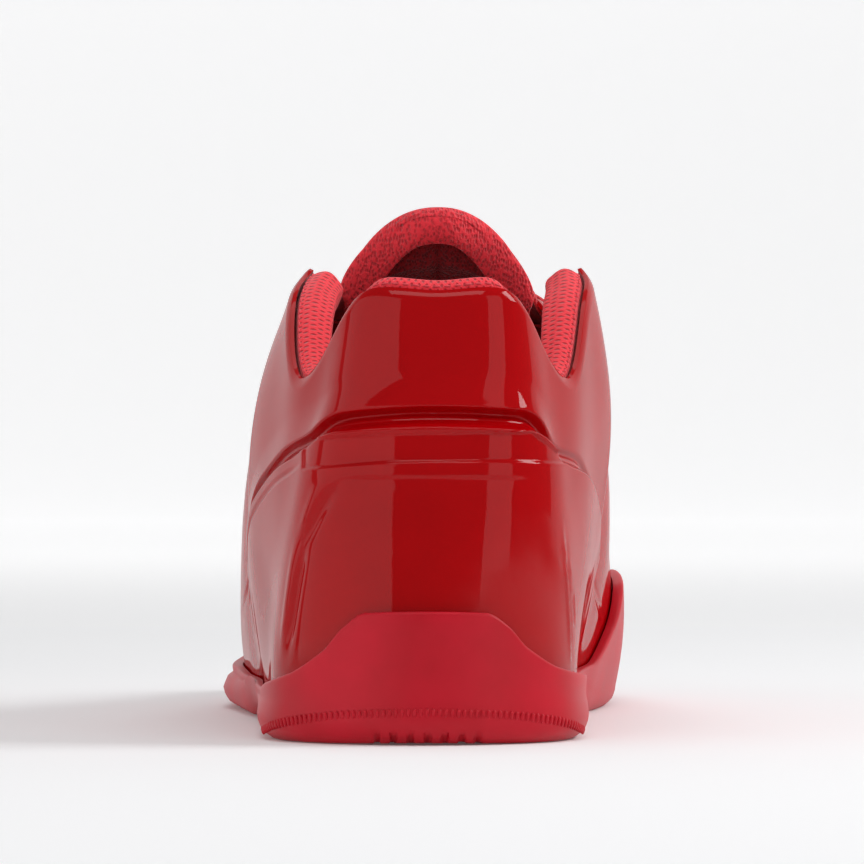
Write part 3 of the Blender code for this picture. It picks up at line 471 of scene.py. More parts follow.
def mesh_object(name, points, faces, materials, finishes=None):
    """A mesh from points in the shoe's millimetres. finishes gives each face its material."""
    mesh = bpy.data.meshes.new(name)
    mesh.from_pydata(in_frame(points.reshape(-1, 3)), [], faces)
    for kind in materials:
        mesh.materials.append(kind)
    if finishes is not None:
        mesh.polygons.foreach_set("material_index", finishes)
    return into_scene(name, mesh)


def grid_faces(count, width, closed_rows=True, closed_across=False):
    """Faces between neighbouring rows of a grid of points."""
    rows = np.arange(count if closed_rows else count - 1)[:, None]
    places = np.arange(width if closed_across else width - 1)
    ahead, beside_it = (rows + 1) % count * width, (places + 1) % width
    corners = (rows * width + places, ahead + places, ahead + beside_it, rows * width + beside_it)
    return np.stack(corners, -1).reshape(-1, 4).tolist()


def baked(obj):
    """The object with its modifiers made part of its mesh."""
    bpy.context.view_layer.update()
    graph = bpy.context.evaluated_depsgraph_get()
    made = bpy.data.meshes.new_from_object(obj.evaluated_get(graph))
    obj.modifiers.clear()
    obj.data = made
    return obj


def adder(tree):
    """A function that adds a node to a tree. It sets or wires its inputs, by name or as in0, in1."""

    def add(kind, settings=None, **wires):
        node = tree.nodes.new(kind)
        for key, value in (settings or {}).items():
            setattr(node, key, value)
        for key, value in wires.items():
            socket = node.inputs[int(key[2:]) if key[2:].isdigit() else key.replace("_", " ")]
            if isinstance(value, bpy.types.NodeSocket):
                tree.links.new(value, socket)
            else:
                socket.default_value = value
        return node

    return add


def new_material(name, colour, roughness, where="Object", **levels):
    """A material with its shader's levels. It comes with the coordinates it reads, a function that
    adds a node, and one that wires an output to the shader."""
    made = bpy.data.materials.new(name)
    made.use_nodes = True
    tree = made.node_tree
    shader = tree.nodes["Principled BSDF"]
    levels |= {"Base Color": (*colour, 1.0), "Roughness": roughness}
    for level, value in levels.items():
        shader.inputs[level.replace("_", " ")].default_value = value
    add = adder(tree)

    def wire(output, socket):
        tree.links.new(output, shader.inputs[socket])

    return made, add("ShaderNodeTexCoord").outputs[where], add, wire


def ramp(add, value, low, high, start=0.0, end=1.0):
    """A colour that goes from low to high while a value goes from start to end."""
    node = add("ShaderNodeValToRGB", in0=value)
    for element, colour, at in zip(node.color_ramp.elements, (low, high), (start, end)):
        element.color = (*colour, 1.0)
        element.position = at
    return node.outputs["Color"]


def relief(add, height, strength, deep, **over):
    """The surface's direction with fine relief up to deep, in metres."""
    node = add("ShaderNodeBump", Strength=strength, Distance=deep, Height=height, **over)
    return node.outputs["Normal"]


PATENT_RED = (0.40, 0.0004, 0.002)
PATENT_DEEP = (0.36, 0.0003, 0.0015)
patent, place, add, wire = new_material(
    "patent_shell",
    PATENT_RED,
    0.30,
    Coat_Weight=0.50,
    Coat_Roughness=0.03,
    Coat_IOR=1.46,
    Specular_IOR_Level=0.0,
)
cloud = add("ShaderNodeTexNoise", Vector=place, Scale=38.0, Detail=3.0).outputs["Fac"]
wire(ramp(add, cloud, PATENT_DEEP, PATENT_RED, 0.25, 0.55), "Base Color")
ripple = add("ShaderNodeTexNoise", Vector=place, Scale=95.0, Detail=1.0).outputs["Fac"]
pore = add("ShaderNodeTexNoise", Vector=place, Scale=1900.0, Detail=2.0).outputs["Fac"]
swell = relief(add, ripple, 0.06, 0.0008)
wire(relief(add, pore, 0.02, 0.0002, Normal=swell), "Coat Normal")
wire(swell, "Normal")

LINING_RED, LINING_DARK = (0.42, 0.012, 0.022), (0.20, 0.004, 0.008)
lining, place, add, wire = new_material("knit_lining", LINING_RED, 0.85, Sheen_Weight=0.25)
weave = add("ShaderNodeTexVoronoi", Vector=place, Scale=620.0).outputs["Distance"]
wire(ramp(add, weave, LINING_RED, LINING_DARK), "Base Color")
wire(relief(add, weave, 0.5, 0.0003), "Normal")

shell_turns = turn_places(SHELL_STEPS)
turns = shell_turns[:, None]
ends = edge_rise(shell_turns)
band = rises_at_heights(shell_turns, ledge_z(turns) + COUNTER_BAND)
band = np.minimum(band, BAND_TOP * ends[:, None] + BAND_SPREAD * np.arange(len(COUNTER_BAND)))
below = band[:, :1] * np.linspace(0, 1, SHELL_ROWS[0], endpoint=False)
top_shares = 1 - (1 - np.linspace(0, 1, SHELL_ROWS[1])[1:]) ** TOP_CROWD
above = band[:, -1:] + (ends[:, None] - band[:, -1:]) * top_shares
rises = np.concatenate([below, band, above], 1)
smooth = form(turns, rises)
to_edge = np.linalg.norm(smooth - smooth[:, -1:], axis=-1)
open_edge = (rib_of(shell_turns) <= FIRST_INSTEP_RIB - 1) | (ends < 0.9995)
to_edge = np.where(open_edge[:, None], to_edge, FAR_FROM_EDGE)
outside = shell(turns, rises, to_edge)
inside, normal = skin(turns, ends[:, None] * np.linspace(1, 0, SHELL_ROWS[2]))
inside = inside + (counter_step(turns, inside[..., 2]) - SHELL_WALL)[..., None] * normal
across = inside[-np.arange(len(shell_turns)), 0]
inside[~open_edge, 0] = (inside[~open_edge, 0] + across[~open_edge]) / 2
surface = np.concatenate([outside, inside], 1)
count, width = surface.shape[:2]
faces = np.array(grid_faces(count, width, True, True)).reshape(count, width, 4)
rim_row = outside.shape[1] - 1
closed_top = ~(open_edge | np.roll(open_edge, -1))
kept = np.ones((count, width), bool)
kept[closed_top, rim_row] = False
lined = np.zeros((count, width), int)
lined[:, rim_row + 1 : -1] = 1
patent_shell = mesh_object("patent_shell", surface, faces[kept].tolist(), (patent, lining), lined[kept])
welded(patent_shell)
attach(patent_shell, "root")
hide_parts("upper")

# Rubber cup sole. One satin moulding: floor, rim with a raised tab at the heel and a flare at the
# outer ball, cut grooves in the tread and a band of small upright beads round the heel's edge.
TAB_HEIGHT, RIM_THICKNESS, RIM_FLARE, RIM_CHAMFER, EDGE_TUCK = 33.0, 3.0, 3.6, 0.9, 3.0
BED_HEEL, BED_BALL, BED_GAP = 22.0, 13.0, 0.8
BED_SLOPE = (0.25, 0.68)
SOLE_STEPS = (70, 60, 34, 22, 16, 16, 18, 22, 18, 16, 18, 18)
RIM = table(
    "rib top_in top_out thick_in thick_out flare_in flare_out",
    (0.0, 1.000, 1.000, 0.93, 0.93, 0.08, 0.08),
    (0.5, 0.988, 0.988, 0.90, 0.90, 0.11, 0.11),
    (0.7, 0.894, 0.879, 0.83, 0.83, 0.14, 0.14),
    (0.9, 0.727, 0.697, 0.80, 0.80, 0.17, 0.17),
    (1.35, 0.561, 0.515, 0.73, 0.73, 0.22, 0.22),
    (2.2, 0.485, 0.412, 0.70, 0.67, 0.28, 0.28),
    (3.0, 0.455, 0.352, 0.70, 0.63, 0.22, 0.28),
    (4.0, 0.394, 0.333, 0.77, 0.70, 0.00, 0.00),
    (6.0, 0.424, 0.339, 0.87, 0.87, 0.00, 0.08),
    (7.0, 0.697, 0.358, 0.97, 0.93, 0.00, 0.61),
    (7.7, 1.061, 0.364, 1.00, 1.00, 0.00, 1.00),
    (8.4, 1.152, 0.376, 1.00, 1.00, 0.08, 0.83),
    (9.0, 0.939, 0.409, 1.00, 1.00, 0.17, 0.44),
    (9.7, 0.636, 0.515, 1.07, 1.07, 0.11, 0.17),
    (11.0, 0.788, 0.773, 1.27, 1.27, 0.00, 0.00),
    (12.0, 0.970, 0.970, 1.47, 1.47, 0.00, 0.00),
)
EDGE = table(
    "up flare tuck", (0.0, 0.5, 1.0), (0.055, 0.8, 0.32), (0.170, 1.0, 0.0), (0.261, 0.5, 0.0)
)
UNDER_SHARES = (0.0, 0.2, 0.4, 0.6, 0.75, 0.88, 0.96)
CHAMFER_STEPS = ((0.45, 0.10), (0.15, 0.35), (0.0, 0.75), (0.0, 1.3))
INNER_SHARES = (0.98, 0.8, 0.5, 0.25, 0.0)
EDGE_HEIGHTS = (0.0, 0.012, 0.03, 0.055, 0.085, 0.12, 0.170, 0.21, 0.261)
# Each groove: place across, place along, degrees turned, length.
GROOVES = (
    (0.0, 0.085, 0.0, 0.20),
    (0.0, 0.150, 0.0, 0.40),
    (0.0, 0.215, 0.0, 0.44),
    (0.0, 0.530, 6.0, 0.62),
    (0.0, 0.585, 6.0, 0.66),
    (0.0, 0.640, 6.0, 0.70),
    (0.0, 0.700, 6.0, 0.68),
    (0.02, 0.760, 6.0, 0.62),
)
GROOVE_WIDTH, GROOVE_DEPTH = 4.0, 2.0
SLOT_PITCH, SLOT_DEEP, SLOT_MIDDLE, SLOT_REACH, SLOT_TOP = 4.2, 1.5, 1.0, 14.0, 3.2
BAND = table("rib z", (0.0, 7.6), (0.6, 7.2), (1.0, 6.2), (1.4, 4.6), (1.9, 2.6), (2.2, 1.9))
BAND_START, BAND_END, BAND_PLACES = -2.15, 2.1, 60
BEAD_PITCH, BEAD_LONG, BEAD_WIDE, BEAD_STAND = 1.55, 2.6, 1.15, 0.9
SOLE_SHARP, SHELL_SHARP = 50.0, 60.0

rim_top = by_side(RIM, "top_in", "top_out", TAB_HEIGHT)
rim_thick = by_side(RIM, "thick_in", "thick_out", RIM_THICKNESS)
rim_flare = by_side(RIM, "flare_in", "flare_out", RIM_FLARE)
edge_flare = steady(EDGE["up"], EDGE["flare"])
edge_tuck = steady(EDGE["up"], EDGE["tuck"], level_ends=False)


def bed(y):
    """The top of the sole's foam bed, inside the shell."""
    share = np.asarray(y, float) / LENGTH
    return toe_spring(y) + BED_HEEL + (BED_BALL - BED_HEEL) * ease(*BED_SLOPE, share)


def plain_face(turn, inset=0.0):
    """The shell's face without what is pressed into it, which the rim and the insole follow."""
    points, normal = skin(turn, FINE_RISE)
    return points + (counter_step(turn, points[..., 2]) - inset)[..., None] * normal


def beside(face, turn, z, out):
    """The point that lies out from a face of the shell, level with a height."""
    out_x, out_y = outward(turn)
    at_x, at_y = np.interp(z, face[:, 2], face[:, 0]), np.interp(z, face[:, 2], face[:, 1])
    return np.array([at_x + out_x * out, at_y + out_y * out, z])


def rim_point(turn, up, face=None):
    """A point of the rim's outer face at a height over the ground under it."""
    face = plain_face(turn) if face is None else face
    low, share = float(ground(foot_y(turn))), up / TAB_HEIGHT
    thick = rim_thick(turn) + CLEARANCE
    out = thick + rim_flare(turn) * edge_flare(share) - EDGE_TUCK * edge_tuck(share)
    return beside(face, turn, low + up, out)


def sole_section(turn):
    """One rib of the sole: under the tread, up the rim, down inside it and over the bed."""
    x, y = foot_x(turn), foot_y(turn)
    low, top = float(ground(y)), float(rim_top(turn))
    thick = rim_thick(turn) + CLEARANCE
    out_x, out_y = outward(turn)
    face, inner = plain_face(turn), plain_face(turn, SHELL_WALL)
    middle_y = float(spine_y(turn))
    middle_x = float(axis_x(middle_y))
    edge_x, edge_y = x + out_x * (thick - EDGE_TUCK), y + out_y * (thick - EDGE_TUCK)
    points = []
    for share in UNDER_SHARES:
        under_y = middle_y + (edge_y - middle_y) * share
        points.append((middle_x + (edge_x - middle_x) * share, under_y, ground(under_y)))
    for up in EDGE_HEIGHTS:
        points.append(rim_point(turn, up * TAB_HEIGHT, face))
    edge_z = points[-1][2]
    for share in np.linspace(0.15, 1.0, 8):
        out = thick + 0.5 * rim_flare(turn) * (1 - min(1.0, 2 * share)) ** 2
        points.append(beside(face, turn, edge_z + (top - RIM_CHAMFER - edge_z) * share, out))
    for down, back in CHAMFER_STEPS:
        points.append(beside(face, turn, top - down * RIM_CHAMFER, thick - back * RIM_CHAMFER))
    floor_z = low + SOLE_FLOOR
    for share in INNER_SHARES:
        points.append(beside(face, turn, floor_z + (top - floor_z) * share, CLEARANCE))
    bed_z = float(bed(y))
    for share in (0.0, 0.5, 1.0):
        points.append(beside(inner, turn, floor_z + (bed_z - floor_z) * share, -BED_GAP))
    points.append((middle_x, middle_y, float(bed(middle_y))))
    return np.array(points)


def cut_slots(points):
    """The sole's sections with short slots in the lower edge of the heel."""
    x, y, z = points[..., 0] - SLOT_MIDDLE, points[..., 1], points[..., 2]
    wave = np.cos(2 * np.pi * x / SLOT_PITCH)
    deep = SLOT_DEEP * ease(0.15, 0.55, wave) * (1 - ease(SLOT_REACH - 2, SLOT_REACH, np.abs(x)))
    deep *= (1 - ease(SLOT_TOP - 1.2, SLOT_TOP, z)) * (y < 12.0) * (z < SLOT_TOP)
    points[..., 1] += deep
    points[..., 2] += 0.5 * deep * (z < 0.3)
    return points


RUBBER_RED = (0.50, 0.002, 0.014)
RUBBER_DARK, RUBBER_LIGHT = (0.45, 0.0016, 0.011), (0.55, 0.0028, 0.018)
rubber, place, add, wire = new_material("satin_rubber", RUBBER_RED, 0.42, Specular_IOR_Level=0.28)
mottle = add("ShaderNodeTexNoise", Vector=place, Scale=60.0, Detail=4.0).outputs["Fac"]
wire(ramp(add, mottle, RUBBER_DARK, RUBBER_LIGHT, 0.3, 0.7), "Base Color")
matt = add("ShaderNodeMapRange", Value=mottle, To_Min=0.36, To_Max=0.50)
wire(matt.outputs["Result"], "Roughness")
grain = add("ShaderNodeTexNoise", Vector=place, Scale=2600.0, Detail=2.0).outputs["Fac"]
wire(relief(add, grain, 0.12, 0.0002), "Normal")


def cut_with(obj, work):
    """Cuts the closed forms in a work mesh out of an object, and makes the result its mesh."""
    mesh = bpy.data.meshes.new("knife")
    work.to_mesh(mesh)
    work.free()
    knife = into_scene("knife", mesh)
    cut = obj.modifiers.new("Cut", "BOOLEAN")
    cut.operation = "DIFFERENCE"
    cut.solver = "EXACT"
    cut.object = knife
    baked(obj)
    bpy.data.objects.remove(knife)


sections = cut_slots(np.array([sole_section(turn) for turn in turn_places(SOLE_STEPS)]))
cup_sole = welded(mesh_object("cup_sole", sections, grid_faces(*sections.shape[:2]), (rubber,)))
work = bmesh.new()
for x, y, degrees, long in GROOVES:
    y *= LENGTH
    spot = (np.array([x * BALL_WIDTH + axis_x(y), y, ground(y)]) - MIDDLE) * MM
    size = Vector((long * BALL_WIDTH, GROOVE_WIDTH, 2 * GROOVE_DEPTH)) * MM
    turned = Matrix.Rotation(math.radians(degrees), 4, "Z")
    placed = Matrix.Translation(spot) @ turned @ Matrix.Diagonal((*size, 1.0))
    bmesh.ops.create_cube(work, matrix=placed)
cut_with(cup_sole, work)
cup_sole.data.set_sharp_from_angle(angle=math.radians(SOLE_SHARP))
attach(cup_sole, "root")
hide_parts("sole")


def new_tree(name, sizes):
    """A node tree for a shape repeated on points, with named sizes. It comes with the function that
    adds a node, its inputs, the attribute out, and one that puts the shape on the points."""
    tree = bpy.data.node_groups.new(name, "GeometryNodeTree")
    kinds = {"Points": "Geometry", "Finish": "Material", "Piece": "Geometry"}
    for size in ("Points", *sizes, "Finish", "Piece"):
        way = "OUTPUT" if size == "Piece" else "INPUT"
        kind = "NodeSocket" + kinds.get(size, "Float")
        tree.interface.new_socket(size, in_out=way, socket_type=kind)
    new = adder(tree)
    given = new("NodeGroupInput").outputs

    def finish(points, shape, turned):
        put = new("GeometryNodeInstanceOnPoints", Points=points, Instance=shape, Rotation=turned)
        real = new("GeometryNodeRealizeInstances", Geometry=put.outputs["Instances"])
        smooth = new("GeometryNodeSetShadeSmooth", Geometry=real.outputs["Geometry"])
        smooth = smooth.outputs["Geometry"]
        done = new("GeometryNodeSetMaterial", Geometry=smooth, Material=given["Finish"])
        new("NodeGroupOutput", Piece=done.outputs["Geometry"])
        return tree

    out = new("GeometryNodeInputNamedAttribute", {"data_type": "FLOAT_VECTOR"}, Name="out")
    return new, given, out.outputs["Attribute"], finish


def row_tree():
    """Rounded beads in a row along a line, their tops towards the line's attribute out."""
    new, given, out, finish = new_tree("beads_along_a_line", ("Pitch", "Long", "Wide", "High"))
    curve = new("GeometryNodeMeshToCurve", Mesh=given["Points"]).outputs["Curve"]
    spaced = new("GeometryNodeResampleCurve", {"mode": "LENGTH"}, Curve=curve, Length=given["Pitch"])
    bead = new("GeometryNodeMeshUVSphere", Segments=8, Rings=5, Radius=0.5).outputs["Mesh"]
    size = new("ShaderNodeCombineXYZ", X=given["Long"], Y=given["Wide"], Z=given["High"])
    shape = new("GeometryNodeTransform", Geometry=bead, Scale=size.outputs["Vector"])
    run = new("GeometryNodeInputTangent").outputs["Tangent"]
    axes = {"primary_axis": "Z", "secondary_axis": "X"}
    lie = new("FunctionNodeAxesToRotation", axes, Primary_Axis=out, Secondary_Axis=run)
    return finish(spaced.outputs["Curve"], shape.outputs["Geometry"], lie.outputs["Rotation"])


def repeated(name, points, outs, edges, tree, **values):
    """A piece that a tree makes on points in the shoe's millimetres. Its sizes are in millimetres."""
    mesh = bpy.data.meshes.new(name)
    mesh.from_pydata(in_frame(points), edges, [])
    mesh.attributes.new("out", "FLOAT_VECTOR", "POINT").data.foreach_set("vector", np.ravel(outs))
    obj = into_scene(name, mesh)
    repeat = obj.modifiers.new("Repeat", "NODES")
    repeat.node_group = tree
    for socket in tree.interface.items_tree:
        if socket.name in values:
            value = values[socket.name]
            repeat[socket.identifier] = value * MM if isinstance(value, float) else value
    return baked(obj)


BEAD_ROW = row_tree()


def bead_row(name, points, outs, pitch, long, wide, high, finish):
    """A piece made of beads in a row along points."""
    edges = [(i, i + 1) for i in range(len(points) - 1)]
    sizes = {"Pitch": pitch, "Long": long, "Wide": wide, "High": high}
    return repeated(name, points, outs, edges, BEAD_ROW, **sizes, Finish=finish)


outer_turns = np.linspace(2 * LAST_RIB + BAND_START, 2 * LAST_RIB, BAND_PLACES)
band_turns = np.concatenate([outer_turns[:-1], np.linspace(0.0, BAND_END, BAND_PLACES)])
band_height = steady(BAND["rib"], BAND["z"])
band_points = np.array([rim_point(turn, float(band_height(rib_of(turn)))) for turn in band_turns])
band_outs = [(*outward(turn), -0.15) for turn in band_turns]
heel_beads = bead_row(
    "heel_beads", band_points, band_outs, BEAD_PITCH, BEAD_WIDE, BEAD_LONG, BEAD_STAND, rubber
)
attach(heel_beads, "root")

# Insole. A thin foam sock liner with a woven top, laid loose on the sole's bed, its edge a little
# raised against the shell.
INSOLE_THICKNESS, INSOLE_GAP, INSOLE_BEVEL, INSOLE_CUP = 4.0, 1.2, 1.0, 0.6
INSOLE_STEPS = (16, 14, 12, 10, 10, 10, 10, 10, 10, 10, 12, 12)
INSOLE_EDGE = ((0.4, 0.4), (1.0, 0.0), (2.5, 0.0), (3.6, 0.1), (4.1, 0.4), (4.3, 0.9))
WEAVE_RED = (0.42, 0.012, 0.022)
WEAVE_DARK, WEAVE_LIGHT = (0.34, 0.008, 0.016), (0.50, 0.018, 0.030)
sock, place, add, wire = new_material("woven_sock_liner", WEAVE_RED, 0.9, Sheen_Weight=0.2)
warp, weft = (
    add("ShaderNodeTexWave", {"wave_type": "BANDS", "bands_direction": way}, Vector=place, Scale=250.0)
    for way in ("X", "Y")
)
warp, weft = warp.outputs["Fac"], weft.outputs["Fac"]
over = add("ShaderNodeMath", {"operation": "MULTIPLY"}, in0=warp, in1=weft)
fade = add("ShaderNodeTexNoise", Vector=place, Scale=30.0).outputs["Fac"]
wire(ramp(add, fade, WEAVE_DARK, WEAVE_LIGHT), "Base Color")
wire(relief(add, over.outputs["Value"], 0.5, 0.0003), "Normal")
rows = []
for turn in turn_places(INSOLE_STEPS):
    face = plain_face(turn, SHELL_WALL)
    low = float(bed(foot_y(turn))) + CLEARANCE
    middle_y = float(spine_y(turn))
    middle = np.array([float(axis_x(middle_y)), middle_y, float(bed(middle_y)) + CLEARANCE])
    under = beside(face, turn, low, -INSOLE_GAP - INSOLE_BEVEL)
    side = [beside(face, turn, low + up, -INSOLE_GAP - back) for up, back in INSOLE_EDGE]
    tops = []
    for share in (0.93, 0.8, 0.6, 0.4, 0.2, 0.0):
        flat = middle + (side[-1] - middle) * share
        top = float(bed(flat[1])) + CLEARANCE + INSOLE_THICKNESS
        flat[2] = top + INSOLE_CUP * share**3 - 0.2 * (1 - share)
        tops.append(flat)
    rows.append([middle, under, *side, *tops])
rows = np.array(rows)
sock_liner = welded(mesh_object("sock_liner", rows, grid_faces(*rows.shape[:2]), (sock,)))
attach(sock_liner, "root")
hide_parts("insole")

# Collar. Foam padded spacer knit from wing to wing, fixed inside the shell. Its soft roll stands
# over the shell's edge, and slanted rows of small oval holes cover all of it.
PAD_THICKNESS, PAD_DEPTH, PAD_GAP, ROLL_STAND = 6.5, 34.0, 0.8, 3.4
ROLL = table("rib stand", (0.0, 1.0), (1.0, 1.0), (2.4, 0.65), (4.0, 0.65), (5.0, 1.24))
ROLL_SECTION = ((0.10, 0.55), (0.40, 1.0), (0.75, 0.75), (1.02, 0.1))
PAD_ROWS = (1.0, 0.75, 0.5, 0.25, 0.01)
PAD_SWELL = (0.30, 0.62, 0.85, 1.0)
PAD_CLEAR = 0.4
PAD_CLEAR_START, PAD_CLEAR_END = 1.0, 2.5
PAD_TURNS, PAD_ROUND = 300, 6.0
WING_FULL, WING_START, WING_END = 0.45, 2.4, 4.2
PAD_FINE = 5
HOLE_PITCH, HOLE_STRETCH = 2.3, 1.5
roll_stand = steady(ROLL["rib"], ROLL["stand"] * ROLL_STAND)


def pad_section(turn):
    """One closed section of the collar pad: up behind the shell, over the roll and down inside."""
    last_tenth = form(turn, 1.0) - form(turn, 0.9)
    rise = 1 - PAD_DEPTH / (10 * np.linalg.norm(last_tenth)) * np.array(PAD_ROWS)
    normal = form_normal(turn, 1.0)
    up = last_tenth / np.linalg.norm(last_tenth)
    outer = form(turn, rise)
    over = (outer[:, 2] - ledge_z(turn)) / LEDGE_STEP
    groove = PAD_CLEAR * ledge_step(turn) * (1 - ease(PAD_CLEAR_START, PAD_CLEAR_END, over))
    outer = outer - (SHELL_WALL + PAD_GAP + groove)[:, None] * form_normal(turn, rise)
    edge = form(turn, 1.0) - (SHELL_WALL + PAD_GAP) * normal
    stand = float(roll_stand(rib_of(turn)))
    full = PAD_THICKNESS * (1 + WING_FULL * float(ease(WING_START, WING_END, rib_of(turn))))
    roll = [edge - normal * full * back + up * stand * rise_up for back, rise_up in ROLL_SECTION]
    thick = full * np.array(PAD_SWELL)
    back = outer[: len(thick)] - thick[:, None] * form_normal(turn, rise[: len(thick)])
    return np.concatenate([outer, roll, back[::-1]])


def curve_between(before, start, end, after, f):
    """Places at shares f of the smooth curve through four points, between the middle two."""
    return 0.5 * (
        2 * start
        + (end - before) * f
        + (2 * before - 5 * start + 4 * end - after) * f**2
        + (3 * start - before - 3 * end + after) * f**3
    )


def rounded(ring, fine):
    """A closed ring of points with fine places between two of them, on a smooth curve."""
    before, ahead, after = (np.roll(ring, -k, axis=-2) for k in (-1, 1, 2))
    made = curve_between(before, ring, ahead, after, (np.arange(fine) / fine)[:, None, None])
    return np.moveaxis(made, 0, -2).reshape(-1, ring.shape[-1])


def run_along(points):
    """How far along a line of points each of them lies."""
    return np.concatenate([[0.0], np.cumsum(np.linalg.norm(np.diff(points, axis=0), axis=-1))])


def tube_with_uv(name, rings, materials, finishes=None):
    """A closed tube through rings, its ends drawn to a point, with a UV map in millimetres."""
    count, width = rings.shape[:2]
    obj = mesh_object(name, rings, grid_faces(count, width, False, True), materials, finishes)
    lengths = np.linalg.norm(np.diff(rings, axis=0), axis=-1).max(axis=1)
    along = np.concatenate([[0.0], np.cumsum(lengths)])
    middle = rings[count // 2]
    across = run_along(middle)
    layer = obj.data.uv_layers.new(name="UVMap")
    loops = np.empty(len(obj.data.loops), int)
    obj.data.loops.foreach_get("vertex_index", loops)
    u, v = along[loops // width], across[loops % width]
    first = np.array([face.loop_start for face in obj.data.polygons])
    wrapped = (loops % width == 0) & (loops[np.repeat(first, 4)] % width == width - 1)
    v = np.where(wrapped, across[-1] + np.linalg.norm(middle[0] - middle[-1]), v)
    layer.data.foreach_set("uv", np.stack([u, v], 1).ravel())
    return welded(obj)


KNIT_RED = (0.95, 0.030, 0.052)
KNIT_DARK = (0.42, 0.006, 0.014)


def knit_material(name, light, dark, holes, stretch, depth, upright=False):
    """Knit: slanted rows of oval holes on the UV map in millimetres, or a fine upright grain."""
    made, place, add, wire = new_material(
        name, light, 0.82, where="Object" if upright else "UV", Sheen_Weight=0.18, Sheen_Roughness=0.5
    )
    unit_there = 1 / MM if upright else 1.0
    turn = (0.0, 0.0, 0.0 if upright else math.radians(45))
    scale = (stretch * unit_there, unit_there, unit_there)
    stretched = add("ShaderNodeMapping", Vector=place, Scale=scale).outputs["Vector"]
    turned = add("ShaderNodeMapping", Vector=stretched, Rotation=turn).outputs["Vector"]
    flat = {"voronoi_dimensions": "3D" if upright else "2D"}
    cell, loop_cell = (
        add("ShaderNodeTexVoronoi", flat, Vector=turned, Scale=scale_up / holes, Randomness=uneven)
        for scale_up, uneven in ((1.0, 0.9 if upright else 0.12), (2.6, 0.9 if upright else 0.35))
    )
    edge = (0.22, 0.62) if upright else (0.12, 0.36)
    hole = ramp(add, cell.outputs["Distance"], (0.0, 0.0, 0.0), (1.0, 1.0, 1.0), *edge)
    patch = add("ShaderNodeTexNoise", Vector=place, Scale=0.12 * unit_there, Detail=2.0).outputs["Fac"]
    worn = (light[0] * 0.86, light[1] * 0.6, light[2] * 0.6, 1.0)
    thread = add("ShaderNodeMix", {"data_type": "RGBA"}, in0=patch, in6=worn, in7=(*light, 1.0))
    thread = thread.outputs[2]
    colour = add("ShaderNodeMix", {"data_type": "RGBA"}, in0=hole, in6=(*dark, 1.0), in7=thread)
    wire(colour.outputs[2], "Base Color")
    low = {"operation": "MULTIPLY_ADD"}
    loops = add("ShaderNodeMath", low, in0=loop_cell.outputs["Distance"], in1=-0.35, in2=hole)
    wire(relief(add, loops.outputs["Value"], 0.9, depth * MM), "Normal")
    return made


collar_knit = knit_material("collar_knit", KNIT_RED, KNIT_DARK, HOLE_PITCH, HOLE_STRETCH, 0.35)
pad_turns = np.linspace(-(FIRST_INSTEP_RIB - 1.0), FIRST_INSTEP_RIB - 1.0, PAD_TURNS)
rings = np.array([rounded(pad_section(turn), PAD_FINE) for turn in pad_turns])
centres = rings.mean(axis=1, keepdims=True)
run = run_along(centres[:, 0])
to_end = np.minimum(run, run[-1] - run)
full = np.sqrt(1 - (1 - np.clip(to_end / PAD_ROUND, 0.0, 1.0)) ** 2)
pad_rings = centres + (rings - centres) * np.maximum(full, 0.001)[:, None, None]
collar = tube_with_uv("collar", pad_rings, (collar_knit,))
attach(collar, "root")
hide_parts("collar_pad")

# Tongue. Padded knit from under the vamp to an arch over the ankle. Its border is a thick roll with
# a fine grain, round a thinner and darker panel with one seam down the middle.
TONGUE_THICKNESS, TONGUE_RISE, TONGUE_GAP = 5.0, 15.2, 1.1
TONGUE = table(
    "y half thick",
    (0.720, 0.153, 0.60),
    (0.680, 0.171, 0.68),
    (0.620, 0.194, 0.80),
    (0.560, 0.216, 0.92),
    (0.500, 0.234, 1.00),
    (0.450, 0.248, 1.12),
    (0.415, 0.256, 1.35),
    (0.400, 0.264, 1.60),
)
TONGUE_LAST, TONGUE_BACK = 0.400, 0.84
ARCH_START, ARCH_POWER, ARCH_FLAT = 0.15, 1.15, 0.65
ROLL_WIDE, ROLL_FALL, PANEL_SUNK = 9.5, 4.0, 0.62
PANEL_END, PANEL_START = 60.0, 25.0
SEAM_DEEP, SEAM_HALF, SEAM_EASE = 0.35, 0.7, 1.5
ARCH_FULL, ARCH_THICK, EDGE_SHARE = 0.06, 0.15, 0.55
SHEET_HALF, SHEET_START, SHEET_END = 44.0, 0.36, 0.74
TONGUE_ALONG, TONGUE_ARCH, TONGUE_ACROSS = 90, 60, 61
OUTLINE_PLACES = 1500
INSTEP_ACROSS, INSTEP_ALONG = 45, 90
instep_ribs = np.linspace(*INSTEP_REACH, INSTEP_STEPS)


def instep_sheet():
    """The shell's form over the instep as a table over distance from the axis and place along."""
    across = np.linspace(-SHEET_HALF, SHEET_HALF, 2 * INSTEP_ACROSS)
    along = np.linspace(SHEET_START * LENGTH, SHEET_END * LENGTH, INSTEP_ALONG)
    points = np.zeros((len(across), len(along), 3))
    normals = np.zeros_like(points)
    for side in (1, -1):
        turns = turn_of(instep_ribs, side)
        grid = form(turns[:, None], FINE_RISE)
        for i in np.flatnonzero(np.sign(across) == side):
            rises = first_inside(grid, abs(across[i]))
            at_y = np.array([np.interp(rise, FINE_RISE, row[:, 1]) for rise, row in zip(rises, grid)])
            turn, rise = np.interp(along, at_y, turns), np.interp(along, at_y, rises)
            points[i], normals[i] = form(turn, rise), form_normal(turn, rise)
    return across, along, points, normals


sheet_across, sheet_along, sheet_points, sheet_normals = instep_sheet()


